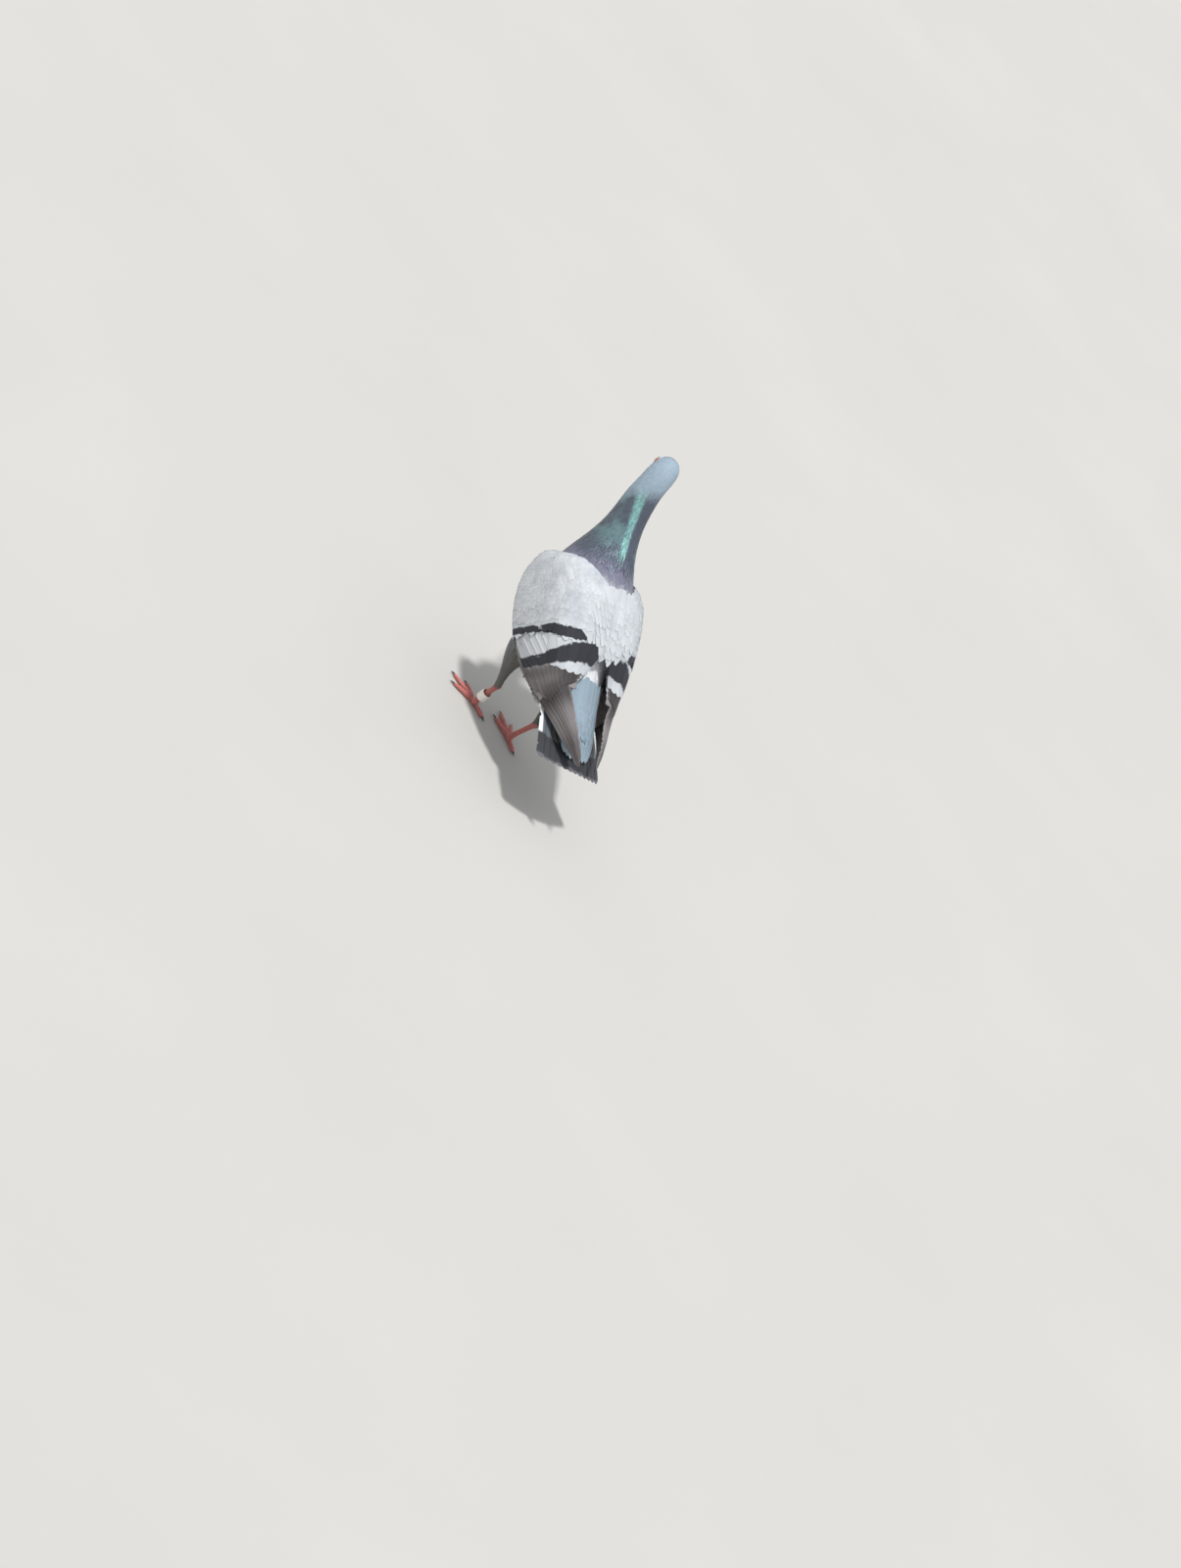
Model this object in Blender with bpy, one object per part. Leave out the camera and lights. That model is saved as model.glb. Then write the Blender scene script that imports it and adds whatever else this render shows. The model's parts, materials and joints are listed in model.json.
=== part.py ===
"""A life-size pigeon of the blue-bar kind, standing in mid step with its neck up and its head turned aside.

The bird faces -Y with its left side at +X, and stands on the plane Z = 0. Tables are in millimetres, as
(forward, left, up) from the floor between the feet. The last step sets the middle of its box over the origin.
"""

import math

import bmesh
import bpy
import numpy as np
from mathutils import Matrix, Vector

MM = 0.001
GAP = 0.3 * MM
SIDES = {"left": 1, "right": -1}
BLOCK = 0.6  # size of the blocks that part one piece from the next
BODY_AROUND = 24
BODY_RINGS = 34
WING_RINGS = 20
WING_ACROSS = 12
TAIL_RINGS = 8
TAIL_ACROSS = 9
LIMB_AROUND = 8
LUMP_AROUND = 14
BILL_RINGS = 12
BILL_AROUND = 8

# Body outline from bill to tail: back line, breast line, half width, and the share of the head's turn.
# (back forward, back up, breast forward, breast up, half width, share of turn)
BODY_OUTLINE = (
    (119.5, 261.5, 118.5, 254.5, 3.2, 1.0),
    (116.0, 267.0, 114.5, 251.5, 6.2, 1.0),
    (111.0, 272.0, 110.0, 248.5, 9.2, 1.0),
    (104.5, 276.0, 105.5, 246.0, 11.8, 1.0),
    (97.0, 277.6, 102.5, 242.8, 13.4, 1.0),
    (89.0, 275.6, 101.5, 238.5, 14.0, 0.97),
    (82.0, 270.5, 101.0, 234.0, 14.0, 0.9),
    (76.5, 263.0, 100.5, 229.0, 14.0, 0.8),
    (72.0, 253.5, 99.8, 222.5, 14.2, 0.65),
    (67.0, 242.5, 96.0, 215.0, 14.8, 0.48),
    (61.0, 230.0, 92.0, 204.5, 15.8, 0.32),
    (53.5, 217.0, 89.5, 192.0, 17.8, 0.18),
    (44.0, 204.5, 88.5, 177.0, 22.0, 0.08),
    (33.0, 193.5, 88.0, 159.5, 28.5, 0.02),
    (20.0, 184.0, 86.5, 138.5, 36.0, 0.0),
    (5.0, 171.0, 78.0, 115.0, 41.5, 0.0),
    (-10.0, 154.0, 60.0, 96.0, 43.5, 0.0),
    (-24.0, 138.0, 36.0, 80.0, 42.5, 0.0),
    (-37.0, 123.5, 10.0, 70.5, 38.5, 0.0),
    (-50.0, 112.5, -16.0, 67.0, 32.5, 0.0),
    (-64.0, 103.0, -40.0, 68.0, 25.5, 0.0),
    (-77.0, 95.0, -62.0, 71.5, 19.0, 0.0),
    (-90.0, 88.0, -82.0, 73.0, 13.5, 0.0),
)
BODY_FULLNESS = 2.15
NECK_AXIS = (90.0, 0.0)  # (forward, left) of the upright line that the head turns about
HEAD_TURN = math.radians(-34.0)
NECK_ROW, SHOULDER_ROW = 7.55, 13.4  # outline rows where the neck is parted from the head and the trunk

# Folded wing: its outer face runs from an upper edge over a rounded shoulder to its side and a lower edge.
# (forward, upper left, upper up, side left, side up, lower left, lower up, thickness)
WING_OUTLINE = (
    (74.0, 37.0, 144.0, 43.0, 139.0, 44.0, 133.0, 1.6),
    (69.0, 32.0, 152.0, 48.5, 137.0, 46.5, 122.0, 6.0),
    (57.0, 25.0, 164.5, 52.5, 135.0, 49.5, 109.0, 12.0),
    (40.0, 17.0, 176.5, 55.0, 132.0, 50.5, 97.0, 15.0),
    (20.0, 9.0, 179.0, 55.5, 127.0, 50.5, 88.0, 16.0),
    (0.0, 3.5, 169.5, 55.0, 120.0, 49.5, 81.0, 16.0),
    (-20.0, 2.5, 153.0, 53.0, 112.0, 47.0, 77.5, 14.0),
    (-34.0, 2.5, 139.5, 50.5, 106.5, 45.0, 76.5, 11.5),
    (-46.0, 12.0, 125.0, 47.0, 102.0, 42.5, 77.0, 8.5),
    (-58.0, 19.5, 112.5, 43.0, 98.0, 39.5, 78.5, 6.5),
    (-76.0, 18.5, 104.5, 35.0, 93.5, 34.5, 80.5, 4.8),
    (-98.0, 14.5, 97.0, 25.5, 89.5, 27.0, 81.0, 3.4),
    (-118.0, 10.0, 88.5, 16.5, 84.0, 18.0, 79.5, 2.4),
    (-128.0, 9.0, 82.0, 10.5, 80.5, 12.0, 79.0, 1.0),
)
WING_FULLNESS = 2.9
EDGE_SHARE = 0.2  # thickness at the wing's edges, as a share of that in its middle
SHOULDER_SHARE = 0.58  # how much of the wing's points lie above its side
PRIMARY_CUT = -62.0  # forward place of the cut between the wing's shield and its long flight feathers

# Tail: (forward, half width, ridge up, edge drop, thickness)
TAIL_OUTLINE = (
    (-36.0, 14.0, 97.5, 1.0, 6.0),
    (-58.0, 25.0, 88.0, 3.5, 5.5),
    (-80.0, 33.5, 79.5, 3.5, 4.0),
    (-100.0, 39.0, 72.0, 3.0, 2.8),
    (-117.0, 42.0, 66.0, 2.5, 1.6),
)
TAIL_THINNING = 0.55  # how much of its thickness the tail loses toward its edges
TAIL_ROUNDING = 8.0  # how much shorter the outer tail feathers are than the middle ones

# Upper and lower bill before the head's turn: (forward, top, bottom, half width)
UPPER_BILL = (
    (110.0, 262.0, 257.5, 3.3),
    (118.0, 261.1, 256.9, 3.2),
    (124.0, 260.1, 256.1, 2.6),
    (130.0, 259.9, 255.3, 2.3),
    (134.5, 258.7, 254.5, 1.8),
    (137.6, 256.3, 253.1, 1.0),
    (138.8, 253.9, 252.1, 0.35),
)
LOWER_BILL = (
    (110.0, 257.0, 253.3, 2.9),
    (118.0, 256.4, 252.7, 2.7),
    (125.0, 255.5, 252.3, 2.1),
    (131.0, 254.6, 252.3, 1.5),
    (135.0, 253.7, 252.5, 0.8),
    (136.2, 252.9, 252.5, 0.4),
)
# The swollen cere over the nostrils, and the depth and width of the groove that parts its two lobes
CERE_CENTRE = (119.0, 0.0, 260.7)
CERE_SIZE = (5.6, 4.5, 2.8)
CERE_GROOVE, CERE_GROOVE_WIDTH = 0.3, 0.22

EYE_CENTRE = (103.6, 9.5, 263.0)
EYE_SIZE = (4.3, 4.3, 4.3)

# Legs: the thigh's line and radii, then the ankle, the foot's place and the way that it points.
THIGH_TOP = {"left": (16.0, 27.0, 86.0), "right": (2.0, -27.0, 84.0)}
ANKLE = {"left": (4.0, 21.0, 35.0), "right": (-25.0, -20.5, 35.0)}
FOOT = {"left": (11.0, 17.0, 5.6), "right": (-18.0, -18.5, 5.6)}
FOOT_TURN = {"left": math.radians(28.0), "right": math.radians(-6.0)}
LEG_RINGS = 9
THIGH_BOW = (2.0, 1.5)  # (forward, outward) bow of the thigh's middle
ANKLE_OVERLAP = 1.5  # how far the shank's top reaches into the feathered leg
THIGH_RADII = (15.5, 14.5, 11.5, 7.6, 5.0, 4.2)
TARSUS_RADII = (3.6, 2.7, 2.45, 2.5, 2.9)
# Each toe: its turn outward from the foot's axis, its length, its base radius and its tip radius
TOES = {
    "inner": (-26.0, 24.0, 2.5, 1.9),
    "middle": (0.0, 32.5, 2.6, 1.9),
    "outer": (26.0, 25.5, 2.5, 1.9),
    "hind": (172.0, 16.0, 2.4, 1.9),
}
TOE_RINGS = 9
TOE_ROOT = 3.4  # how far from the foot's middle a toe starts
TOE_WEDGE = math.radians(12.9)  # half of the angle that a toe may fill
TOE_ARCH = 0.4
SOLE_SIZE, SOLE_UP = (4.0, 4.0, 3.6), 3.1
FLATTEN = 0.88  # height of a toe's middle line, as a share of its radius
KNUCKLES, KNUCKLE = 3, 0.1
TOE_END = 0.72  # how much a toe narrows where its claw leaves it
CLAW_RINGS = 6
CLAW_LENGTH, CLAW_ROOT = 6.2, 1.6  # whole length, and how much of it lies in the toe
CLAW_RADIUS, CLAW_TIP = 1.25, 0.22
CLAW_UP, CLAW_CURVE = 1.5, 0.9
RINGED_LEG = "left"
RING_PLACE = 0.36  # share of the way from the foot to the ankle
RING_RADIUS, RING_WALL, RING_HEIGHT = 5.2, 0.9, 9.5
RING_AROUND = 24

COLOURS = {
    "head": ((0.32, 0.38, 0.46), 0.7, 0.0),
    "neck": ((0.10, 0.16, 0.16), 0.45, 0.2),
    "trunk": ((0.42, 0.45, 0.50), 0.75, 0.0),
    "wing": ((0.62, 0.64, 0.68), 0.75, 0.0),
    "flight": ((0.16, 0.14, 0.14), 0.6, 0.0),
    "tail": ((0.34, 0.40, 0.45), 0.65, 0.0),
    "thigh": ((0.36, 0.38, 0.40), 0.8, 0.0),
    "leg": ((0.55, 0.09, 0.07), 0.55, 0.0),
    "claw": ((0.05, 0.045, 0.045), 0.4, 0.0),
    "bill": ((0.06, 0.055, 0.06), 0.4, 0.0),
    "cere": ((0.78, 0.74, 0.70), 0.8, 0.0),
    "eye": ((0.75, 0.20, 0.02), 0.1, 0.0),
    "ring": ((0.86, 0.82, 0.72), 0.35, 0.0),
}


def place(forward, left, up):
    """A point of the bird, from millimetres, in the model's own axes."""
    return Vector((left, -forward, up)) * MM


def turned(point, share):
    """The point after its share of the head's turn about the neck's upright axis."""
    axis = place(*NECK_AXIS, 0.0)
    return axis + Matrix.Rotation(HEAD_TURN * share, 3, "Z") @ (point - axis)


def smooth_rows(rows, count):
    """Rows read off a smooth curve through the given ones, evenly between its first and last."""
    table = np.array(rows, float)
    padded = np.vstack([2 * table[0] - table[1], table, 2 * table[-1] - table[-2]])
    made = []
    for at in np.linspace(0.0, len(table) - 1.0, count):
        i = min(int(at), len(table) - 2)
        t = at - i
        a, b, c, d = padded[i : i + 4]
        made.append(
            0.5 * (2 * b + (c - a) * t + (2 * a - 5 * b + 4 * c - d) * t**2 + (3 * b - a - 3 * c + d) * t**3)
        )
    return made


def material(name):
    colour, roughness, metallic = COLOURS[name]
    made = bpy.data.materials.get(name) or bpy.data.materials.new(name)
    made.use_nodes = True
    shader = made.node_tree.nodes["Principled BSDF"]
    shader.inputs["Base Color"].default_value = (*colour, 1.0)
    shader.inputs["Roughness"].default_value = roughness
    shader.inputs["Metallic"].default_value = metallic
    return made


def add_object(name, bm, finish):
    """A named object of the mesh, with its faces pointing out and a material of its own."""
    bmesh.ops.recalc_face_normals(bm, faces=bm.faces)
    mesh = bpy.data.meshes.new(name)
    bm.to_mesh(mesh)
    bm.free()
    mesh.materials.append(material(finish))
    mesh.shade_smooth()
    mesh.set_sharp_from_angle(angle=math.radians(50.0))
    made = bpy.data.objects.new(name, mesh)
    bpy.context.scene.collection.objects.link(made)
    return made


def loft(name, rings, finish):
    """A closed solid over rings of points, with a flat cap at each end."""
    bm = bmesh.new()
    loops = [[bm.verts.new(point) for point in ring] for ring in rings]
    count = len(loops[0])
    for near, far in zip(loops, loops[1:]):
        for i in range(count):
            j = (i + 1) % count
            bm.faces.new((near[i], near[j], far[j], far[i]))
    bm.faces.new(loops[0][::-1])
    bm.faces.new(loops[-1])
    return add_object(name, bm, finish)


def helper(obj):
    """Marks an object that only cuts others."""
    obj.hide_render = True
    obj.display_type = "WIRE"
    return obj


def boolean(obj, other, operation="DIFFERENCE"):
    step = obj.modifiers.new(f"{operation.lower()}_{other.name}", "BOOLEAN")
    step.operation = operation
    step.object = other
    step.solver = "EXACT"


def copy_of(obj, name, finish):
    made = obj.copy()
    made.data = obj.data.copy()
    made.name = name
    made.data.materials.clear()
    made.data.materials.append(material(finish))
    made.hide_render = False
    made.display_type = "TEXTURED"
    bpy.context.scene.collection.objects.link(made)
    return made


def grown(obj):
    """A hidden copy of an uncut solid, larger by the gap on every side, for cutting its neighbours."""
    made = bpy.data.objects.new(f"{obj.name}_cutter", obj.data)
    bpy.context.scene.collection.objects.link(made)
    step = made.modifiers.new("gap", "DISPLACE")
    step.strength = GAP
    step.mid_level = 0.0
    return helper(made)


def superellipse(angle, fullness):
    power = 2.0 / fullness
    across, along = math.sin(angle), math.cos(angle)
    return math.copysign(abs(across) ** power, across), math.copysign(abs(along) ** power, along)


def body_ring(row):
    """One ring of the body, in the slanting plane through its points on the back and the breast."""
    back_f, back_u, breast_f, breast_u, half_width, share = row
    back, breast = place(back_f, 0, back_u), place(breast_f, 0, breast_u)
    middle, reach = (back + breast) / 2, (back - breast) / 2
    ring = []
    for k in range(BODY_AROUND):
        across, along = superellipse(2 * math.pi * k / BODY_AROUND, BODY_FULLNESS)
        ring.append(turned(middle + reach * along + Vector((half_width * MM * across, 0, 0)), share))
    return ring


def row_at(number):
    """The body's outline row at a place between two rows."""
    return smooth_rows(BODY_OUTLINE, 1 + 100 * (len(BODY_OUTLINE) - 1))[round(number * 100)]


def half_space(name, number, side):
    """A large block from just past the body's ring there. Side 1 holds the bill, and -1 the tail."""
    ring = body_ring(row_at(number))
    middle = sum(ring, Vector()) / len(ring)
    normal = (ring[0] - middle).cross(ring[BODY_AROUND // 4] - middle).normalized()
    ahead = sum(body_ring(row_at(number - 0.5)), Vector()) / BODY_AROUND - middle
    if normal.dot(ahead) < 0:
        normal.negate()
    bm = bmesh.new()
    bmesh.ops.create_cube(bm, size=BLOCK)
    turn = (normal * side).to_track_quat("Z", "Y").to_matrix().to_4x4()
    lift = Matrix.Translation(middle + normal * side * (BLOCK - GAP) / 2)
    bmesh.ops.transform(bm, matrix=lift @ turn, verts=bm.verts)
    return helper(add_object(name, bm, "trunk"))


def build_body():
    """The whole body from bill to tail, parted into head, neck and trunk by two thin cuts."""
    whole = loft("body_whole", [body_ring(row) for row in smooth_rows(BODY_OUTLINE, BODY_RINGS)], "trunk")
    parts = {name: copy_of(whole, name, name) for name in ("head", "neck", "trunk")}
    boolean(parts["head"], half_space("behind_head", NECK_ROW, -1))
    boolean(parts["neck"], half_space("before_neck", NECK_ROW, 1))
    boolean(parts["neck"], half_space("behind_neck", SHOULDER_ROW, -1))
    boolean(parts["trunk"], half_space("before_trunk", SHOULDER_ROW, 1))
    return helper(whole), parts


def wing_face(row, v):
    """The point (left, up) of the wing's outer face, from its upper edge at v = 0 to its lower one at 1."""
    _, upper_l, upper_u, side_l, side_u, lower_l, lower_u, _ = row
    if v < SHOULDER_SHARE:
        angle = math.pi / 2 * (1 - v / SHOULDER_SHARE)
        power = 2 / WING_FULLNESS
        across, along = math.cos(angle) ** power, max(0.0, math.sin(angle)) ** power
        return np.array((upper_l + (side_l - upper_l) * across, side_u + (upper_u - side_u) * along))
    angle = math.pi / 2 * (v - SHOULDER_SHARE) / (1 - SHOULDER_SHARE)
    across, along = math.cos(angle), math.sin(angle)
    return np.array((lower_l + (side_l - lower_l) * across, side_u + (lower_u - side_u) * along))


def wing_ring(row, side):
    """One ring of the folded wing: down its outer face, and back up the inner one."""
    outer, inner, step = [], [], 0.02
    for v in np.linspace(0.0, 1.0, WING_ACROSS):
        point = wing_face(row, v)
        slope = wing_face(row, min(v + step, 1.0)) - wing_face(row, max(v - step, 0.0))
        inward = np.array((slope[1], -slope[0])) / np.hypot(*slope)
        depth = row[-1] * (EDGE_SHARE + (1 - EDGE_SHARE) * math.sin(math.pi * v) ** 0.7)
        outer.append(point)
        inner.append(point + inward * depth)
    return [place(row[0], side * left, up) for left, up in outer + inner[::-1]]


def build_wing(side_name, side, cutters):
    """A folded wing, parted into its shield and its long primaries."""
    rings = [wing_ring(row, side) for row in smooth_rows(WING_OUTLINE, WING_RINGS)]
    shield = loft(f"wing_{side_name}", rings, "wing")
    primaries = copy_of(shield, f"primaries_{side_name}", "flight")
    for obj, way in ((shield, -1), (primaries, 1)):
        bm = bmesh.new()
        bmesh.ops.create_cube(bm, size=BLOCK)
        middle = place(PRIMARY_CUT, 0, 0) + Vector((0, -way * (BLOCK - GAP) / 2, 0))
        bmesh.ops.translate(bm, vec=middle, verts=bm.verts)
        boolean(obj, helper(add_object(f"{obj.name}_part", bm, "wing")))
    for cutter in cutters:
        boolean(shield, cutter)
        boolean(primaries, cutter)
    return shield


def build_tail(cutters):
    """The tail as one thin roof that widens to its rounded end."""
    rings = []
    root, end = TAIL_OUTLINE[0][0], TAIL_OUTLINE[-1][0]
    for forward, half_width, ridge, drop, thickness in smooth_rows(TAIL_OUTLINE, TAIL_RINGS):
        rounding = TAIL_ROUNDING * max(0.0, (root - forward) / (root - end)) ** 2
        upper, lower = [], []
        for s in np.linspace(-1.0, 1.0, TAIL_ACROSS):
            back, left, up = forward + rounding * s**2, half_width * s, ridge - drop * abs(s) ** 1.4
            upper.append(place(back, left, up))
            lower.append(place(back, left, up - thickness * (1 - TAIL_THINNING * s**2)))
        rings.append(upper + lower[::-1])
    tail = loft("tail", rings, "tail")
    for cutter in cutters:
        boolean(tail, cutter)
    return tail


def bill_ring(row, way):
    """One ring of the bill: arched on one side (way 1 is up) and flat where its two halves meet."""
    forward, top, bottom, half_width = row
    flat, arch = (bottom, top - bottom) if way > 0 else (top, bottom - top)
    ring = []
    for k in range(BILL_AROUND + 1):
        angle = math.pi * k / BILL_AROUND
        ring.append(turned(place(forward, half_width * math.cos(angle), flat + arch * math.sin(angle)), 1.0))
    return ring


def ellipsoid(name, centre, half_sizes, finish, groove=0.0):
    """A rounded lump with half sizes forward, left and up, turned with the head. A groove runs along its top."""
    bm = bmesh.new()
    bmesh.ops.create_uvsphere(bm, u_segments=LUMP_AROUND, v_segments=LUMP_AROUND * 5 // 8, radius=1.0)
    for vert in bm.verts:
        left, backward, up = vert.co
        up *= 1 - groove * math.exp(-((left / CERE_GROOVE_WIDTH) ** 2))
        reach = place(-backward * half_sizes[0], left * half_sizes[1], up * half_sizes[2])
        vert.co = turned(place(*centre) + reach, 1.0)
    return add_object(name, bm, finish)


def build_head_pieces(head, body_cutter):
    """Eyes in their sockets, the two halves of the bill, and the cere across its root."""
    for side_name, side in SIDES.items():
        forward, left, up = EYE_CENTRE
        boolean(head, grown(ellipsoid(f"eye_{side_name}", (forward, side * left, up), EYE_SIZE, "eye")))
    upper = loft("bill_upper", [bill_ring(row, 1) for row in smooth_rows(UPPER_BILL, BILL_RINGS)], "bill")
    lower = loft("bill_lower", [bill_ring(row, -1) for row in smooth_rows(LOWER_BILL, BILL_RINGS)], "bill")
    boolean(upper, body_cutter)
    boolean(lower, body_cutter)
    cere = ellipsoid("cere", CERE_CENTRE, CERE_SIZE, "cere", CERE_GROOVE)
    for cutter in (body_cutter, grown(upper), grown(lower)):
        boolean(cere, cutter)


def tube_rings(path, radii, floor=None):
    """Round rings along a path of points. A floor flattens them where they would go lower."""
    rings = []
    for i, (point, radius) in enumerate(zip(path, radii)):
        along = (path[min(i + 1, len(path) - 1)] - path[max(i - 1, 0)]).normalized()
        turn = along.to_track_quat("Z", "X").to_matrix()
        ring = []
        for k in range(LIMB_AROUND):
            angle = 2 * math.pi * (k + 0.5) / LIMB_AROUND
            corner = point + turn @ Vector((math.cos(angle), math.sin(angle), 0.0)) * radius * MM
            if floor is not None:
                corner.z = max(corner.z, floor)
            ring.append(corner)
        rings.append(ring)
    return rings


def tube(name, path, radii, finish, floor=None):
    return loft(name, tube_rings(path, radii, floor), finish)


def between(start, end, count, bow=Vector()):
    """Points from start to end, bowed aside most at the middle."""
    return [start.lerp(end, t) + bow * math.sin(math.pi * t) for t in np.linspace(0.0, 1.0, count)]


def smooth_radii(radii, count):
    return [row[0] for row in smooth_rows([(r,) for r in radii], count)]


def build_toe(side_name, side, toe, foot, cutters):
    """One toe flat on the floor, narrowed to its share of the foot near its root, and its curved claw."""
    turn, length, base_radius, tip_radius = TOES[toe]
    heading = FOOT_TURN[side_name] + side * math.radians(turn)
    along = place(math.cos(heading), math.sin(heading), 0) / MM
    aside = along.cross(Vector((0, 0, 1)))
    centre = Vector((foot.x, foot.y, 0))
    path, radii = [], []
    for t in np.linspace(0.0, 1.0, TOE_RINGS):
        reach = TOE_ROOT + (length - TOE_ROOT) * t
        radius = base_radius + (tip_radius - base_radius) * t
        up = FLATTEN * radius + TOE_ARCH * math.sin(math.pi * t) ** 2
        path.append(centre + (along * reach + Vector((0, 0, up))) * MM)
        radii.append(radius * (1 + KNUCKLE * math.cos(2 * math.pi * KNUCKLES * t)))
    radii[-1] *= TOE_END
    rings = tube_rings(path, radii, floor=0.0)
    for ring in rings:
        for corner in ring:
            limit = (corner - centre).dot(along) * math.tan(TOE_WEDGE) - GAP / 2
            sideways = (corner - centre).dot(aside)
            corner -= aside * (sideways - max(-limit, min(limit, sideways)))
    made = loft(f"toe_{side_name}_{toe}", rings, "leg")
    for cutter in cutters:
        boolean(made, cutter)
    tip = centre + along * length * MM
    claw_path, claw_radii = [], []
    for t in np.linspace(0.0, 1.0, CLAW_RINGS):
        up = CLAW_UP + CLAW_CURVE * (math.sin(math.pi * t * 0.9) - t)
        claw_path.append(tip + (along * (t * CLAW_LENGTH - CLAW_ROOT) + Vector((0, 0, up))) * MM)
        claw_radii.append(CLAW_RADIUS * (1 - t) ** 0.8 + CLAW_TIP)
    claw = tube(f"claw_{side_name}_{toe}", claw_path, claw_radii, "claw", floor=0.0)
    boolean(claw, grown(made))


def build_leg(side_name, side, cutters):
    """Feathered thigh, bare shank, four toes with claws."""
    ankle, foot = place(*ANKLE[side_name]), place(*FOOT[side_name])
    bow = place(THIGH_BOW[0], side * THIGH_BOW[1], 0)
    thigh_path = between(place(*THIGH_TOP[side_name]), ankle, LEG_RINGS, bow)
    thigh = tube(f"thigh_{side_name}", thigh_path, smooth_radii(THIGH_RADII, LEG_RINGS), "thigh")
    for cutter in cutters:
        boolean(thigh, cutter)
    above = ankle + (ankle - foot).normalized() * ANKLE_OVERLAP * MM
    shank_radii = smooth_radii(TARSUS_RADII, LEG_RINGS)
    tarsus = tube(f"tarsus_{side_name}", between(above, foot, LEG_RINGS), shank_radii, "leg", floor=0.0)
    boolean(tarsus, grown(thigh))
    toe_cutters = [grown(tarsus), grown(build_sole(side_name, foot, tarsus))]
    for toe in TOES:
        build_toe(side_name, side, toe, foot, toe_cutters)
    return ankle, foot


def build_sole(side_name, foot, tarsus):
    """The rounded joint under the shank that the toes spread from, joined to the shank."""
    bm = bmesh.new()
    bmesh.ops.create_uvsphere(bm, u_segments=LUMP_AROUND, v_segments=LUMP_AROUND * 5 // 8, radius=MM)
    for vert in bm.verts:
        vert.co = Vector((foot.x, foot.y, SOLE_UP * MM)) + vert.co * Vector(SOLE_SIZE)
        vert.co.z = max(vert.co.z, 0.0)
    sole = helper(add_object(f"sole_{side_name}", bm, "leg"))
    boolean(tarsus, sole, "UNION")
    return sole


def build_ring(ankle, foot):
    """A plain leg ring round the left shank."""
    along = (ankle - foot).normalized()
    middle = foot.lerp(ankle, RING_PLACE)
    turn = along.to_track_quat("Z", "X").to_matrix().to_4x4()
    half, inner = RING_HEIGHT / 2, RING_RADIUS - RING_WALL
    profile = ((inner, -half), (inner, half), (RING_RADIUS, half), (RING_RADIUS, -half))
    bm = bmesh.new()
    loops = []
    for k in range(RING_AROUND):
        angle = 2 * math.pi * k / RING_AROUND
        out = Vector((math.cos(angle), math.sin(angle), 0.0))
        corners = [out * radius * MM + Vector((0, 0, up * MM)) for radius, up in profile]
        loops.append([bm.verts.new(Matrix.Translation(middle) @ turn @ corner) for corner in corners])
    for near, far in zip(loops, loops[1:] + loops[:1]):
        for i in range(4):
            j = (i + 1) % 4
            bm.faces.new((near[i], near[j], far[j], far[i]))
    add_object("leg_ring", bm, "ring")


def stand_over_origin():
    """Sets the middle of the model's box over the origin, with its soles on the floor."""
    bpy.context.view_layer.update()
    graph = bpy.context.evaluated_depsgraph_get()
    shown = [obj for obj in bpy.data.objects if not obj.hide_render]
    corners = [Vector(c) for obj in shown for c in obj.evaluated_get(graph).bound_box]
    low = Vector(min(c[i] for c in corners) for i in range(3))
    high = Vector(max(c[i] for c in corners) for i in range(3))
    shift = Vector((-(low.x + high.x) / 2, -(low.y + high.y) / 2, -low.z))
    for obj in bpy.data.objects:
        obj.location += shift


def main():
    for obj in list(bpy.data.objects):
        bpy.data.objects.remove(obj)
    whole, parts = build_body()
    body_cutter = grown(whole)
    build_head_pieces(parts["head"], body_cutter)
    tail_cutter = grown(build_tail([body_cutter]))
    for side_name, side in SIDES.items():
        wing = build_wing(side_name, side, [body_cutter, tail_cutter])
        ankle, foot = build_leg(side_name, side, [body_cutter, grown(wing)])
        if side_name == RINGED_LEG:
            build_ring(ankle, foot)
    stand_over_origin()


main()
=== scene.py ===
"""Looks of a life-size blue-bar pigeon: skin, feathers as closed vanes, bill, eyes, feet, ring and stage.

Tables are in millimetres in the frame's own axes: +X is the bird's left, +Y its tail end and +Z up.
Each feather or scale is laid by one Geometry Nodes tree, or drawn as a plume on a sheet read off the frame.
"""

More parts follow.
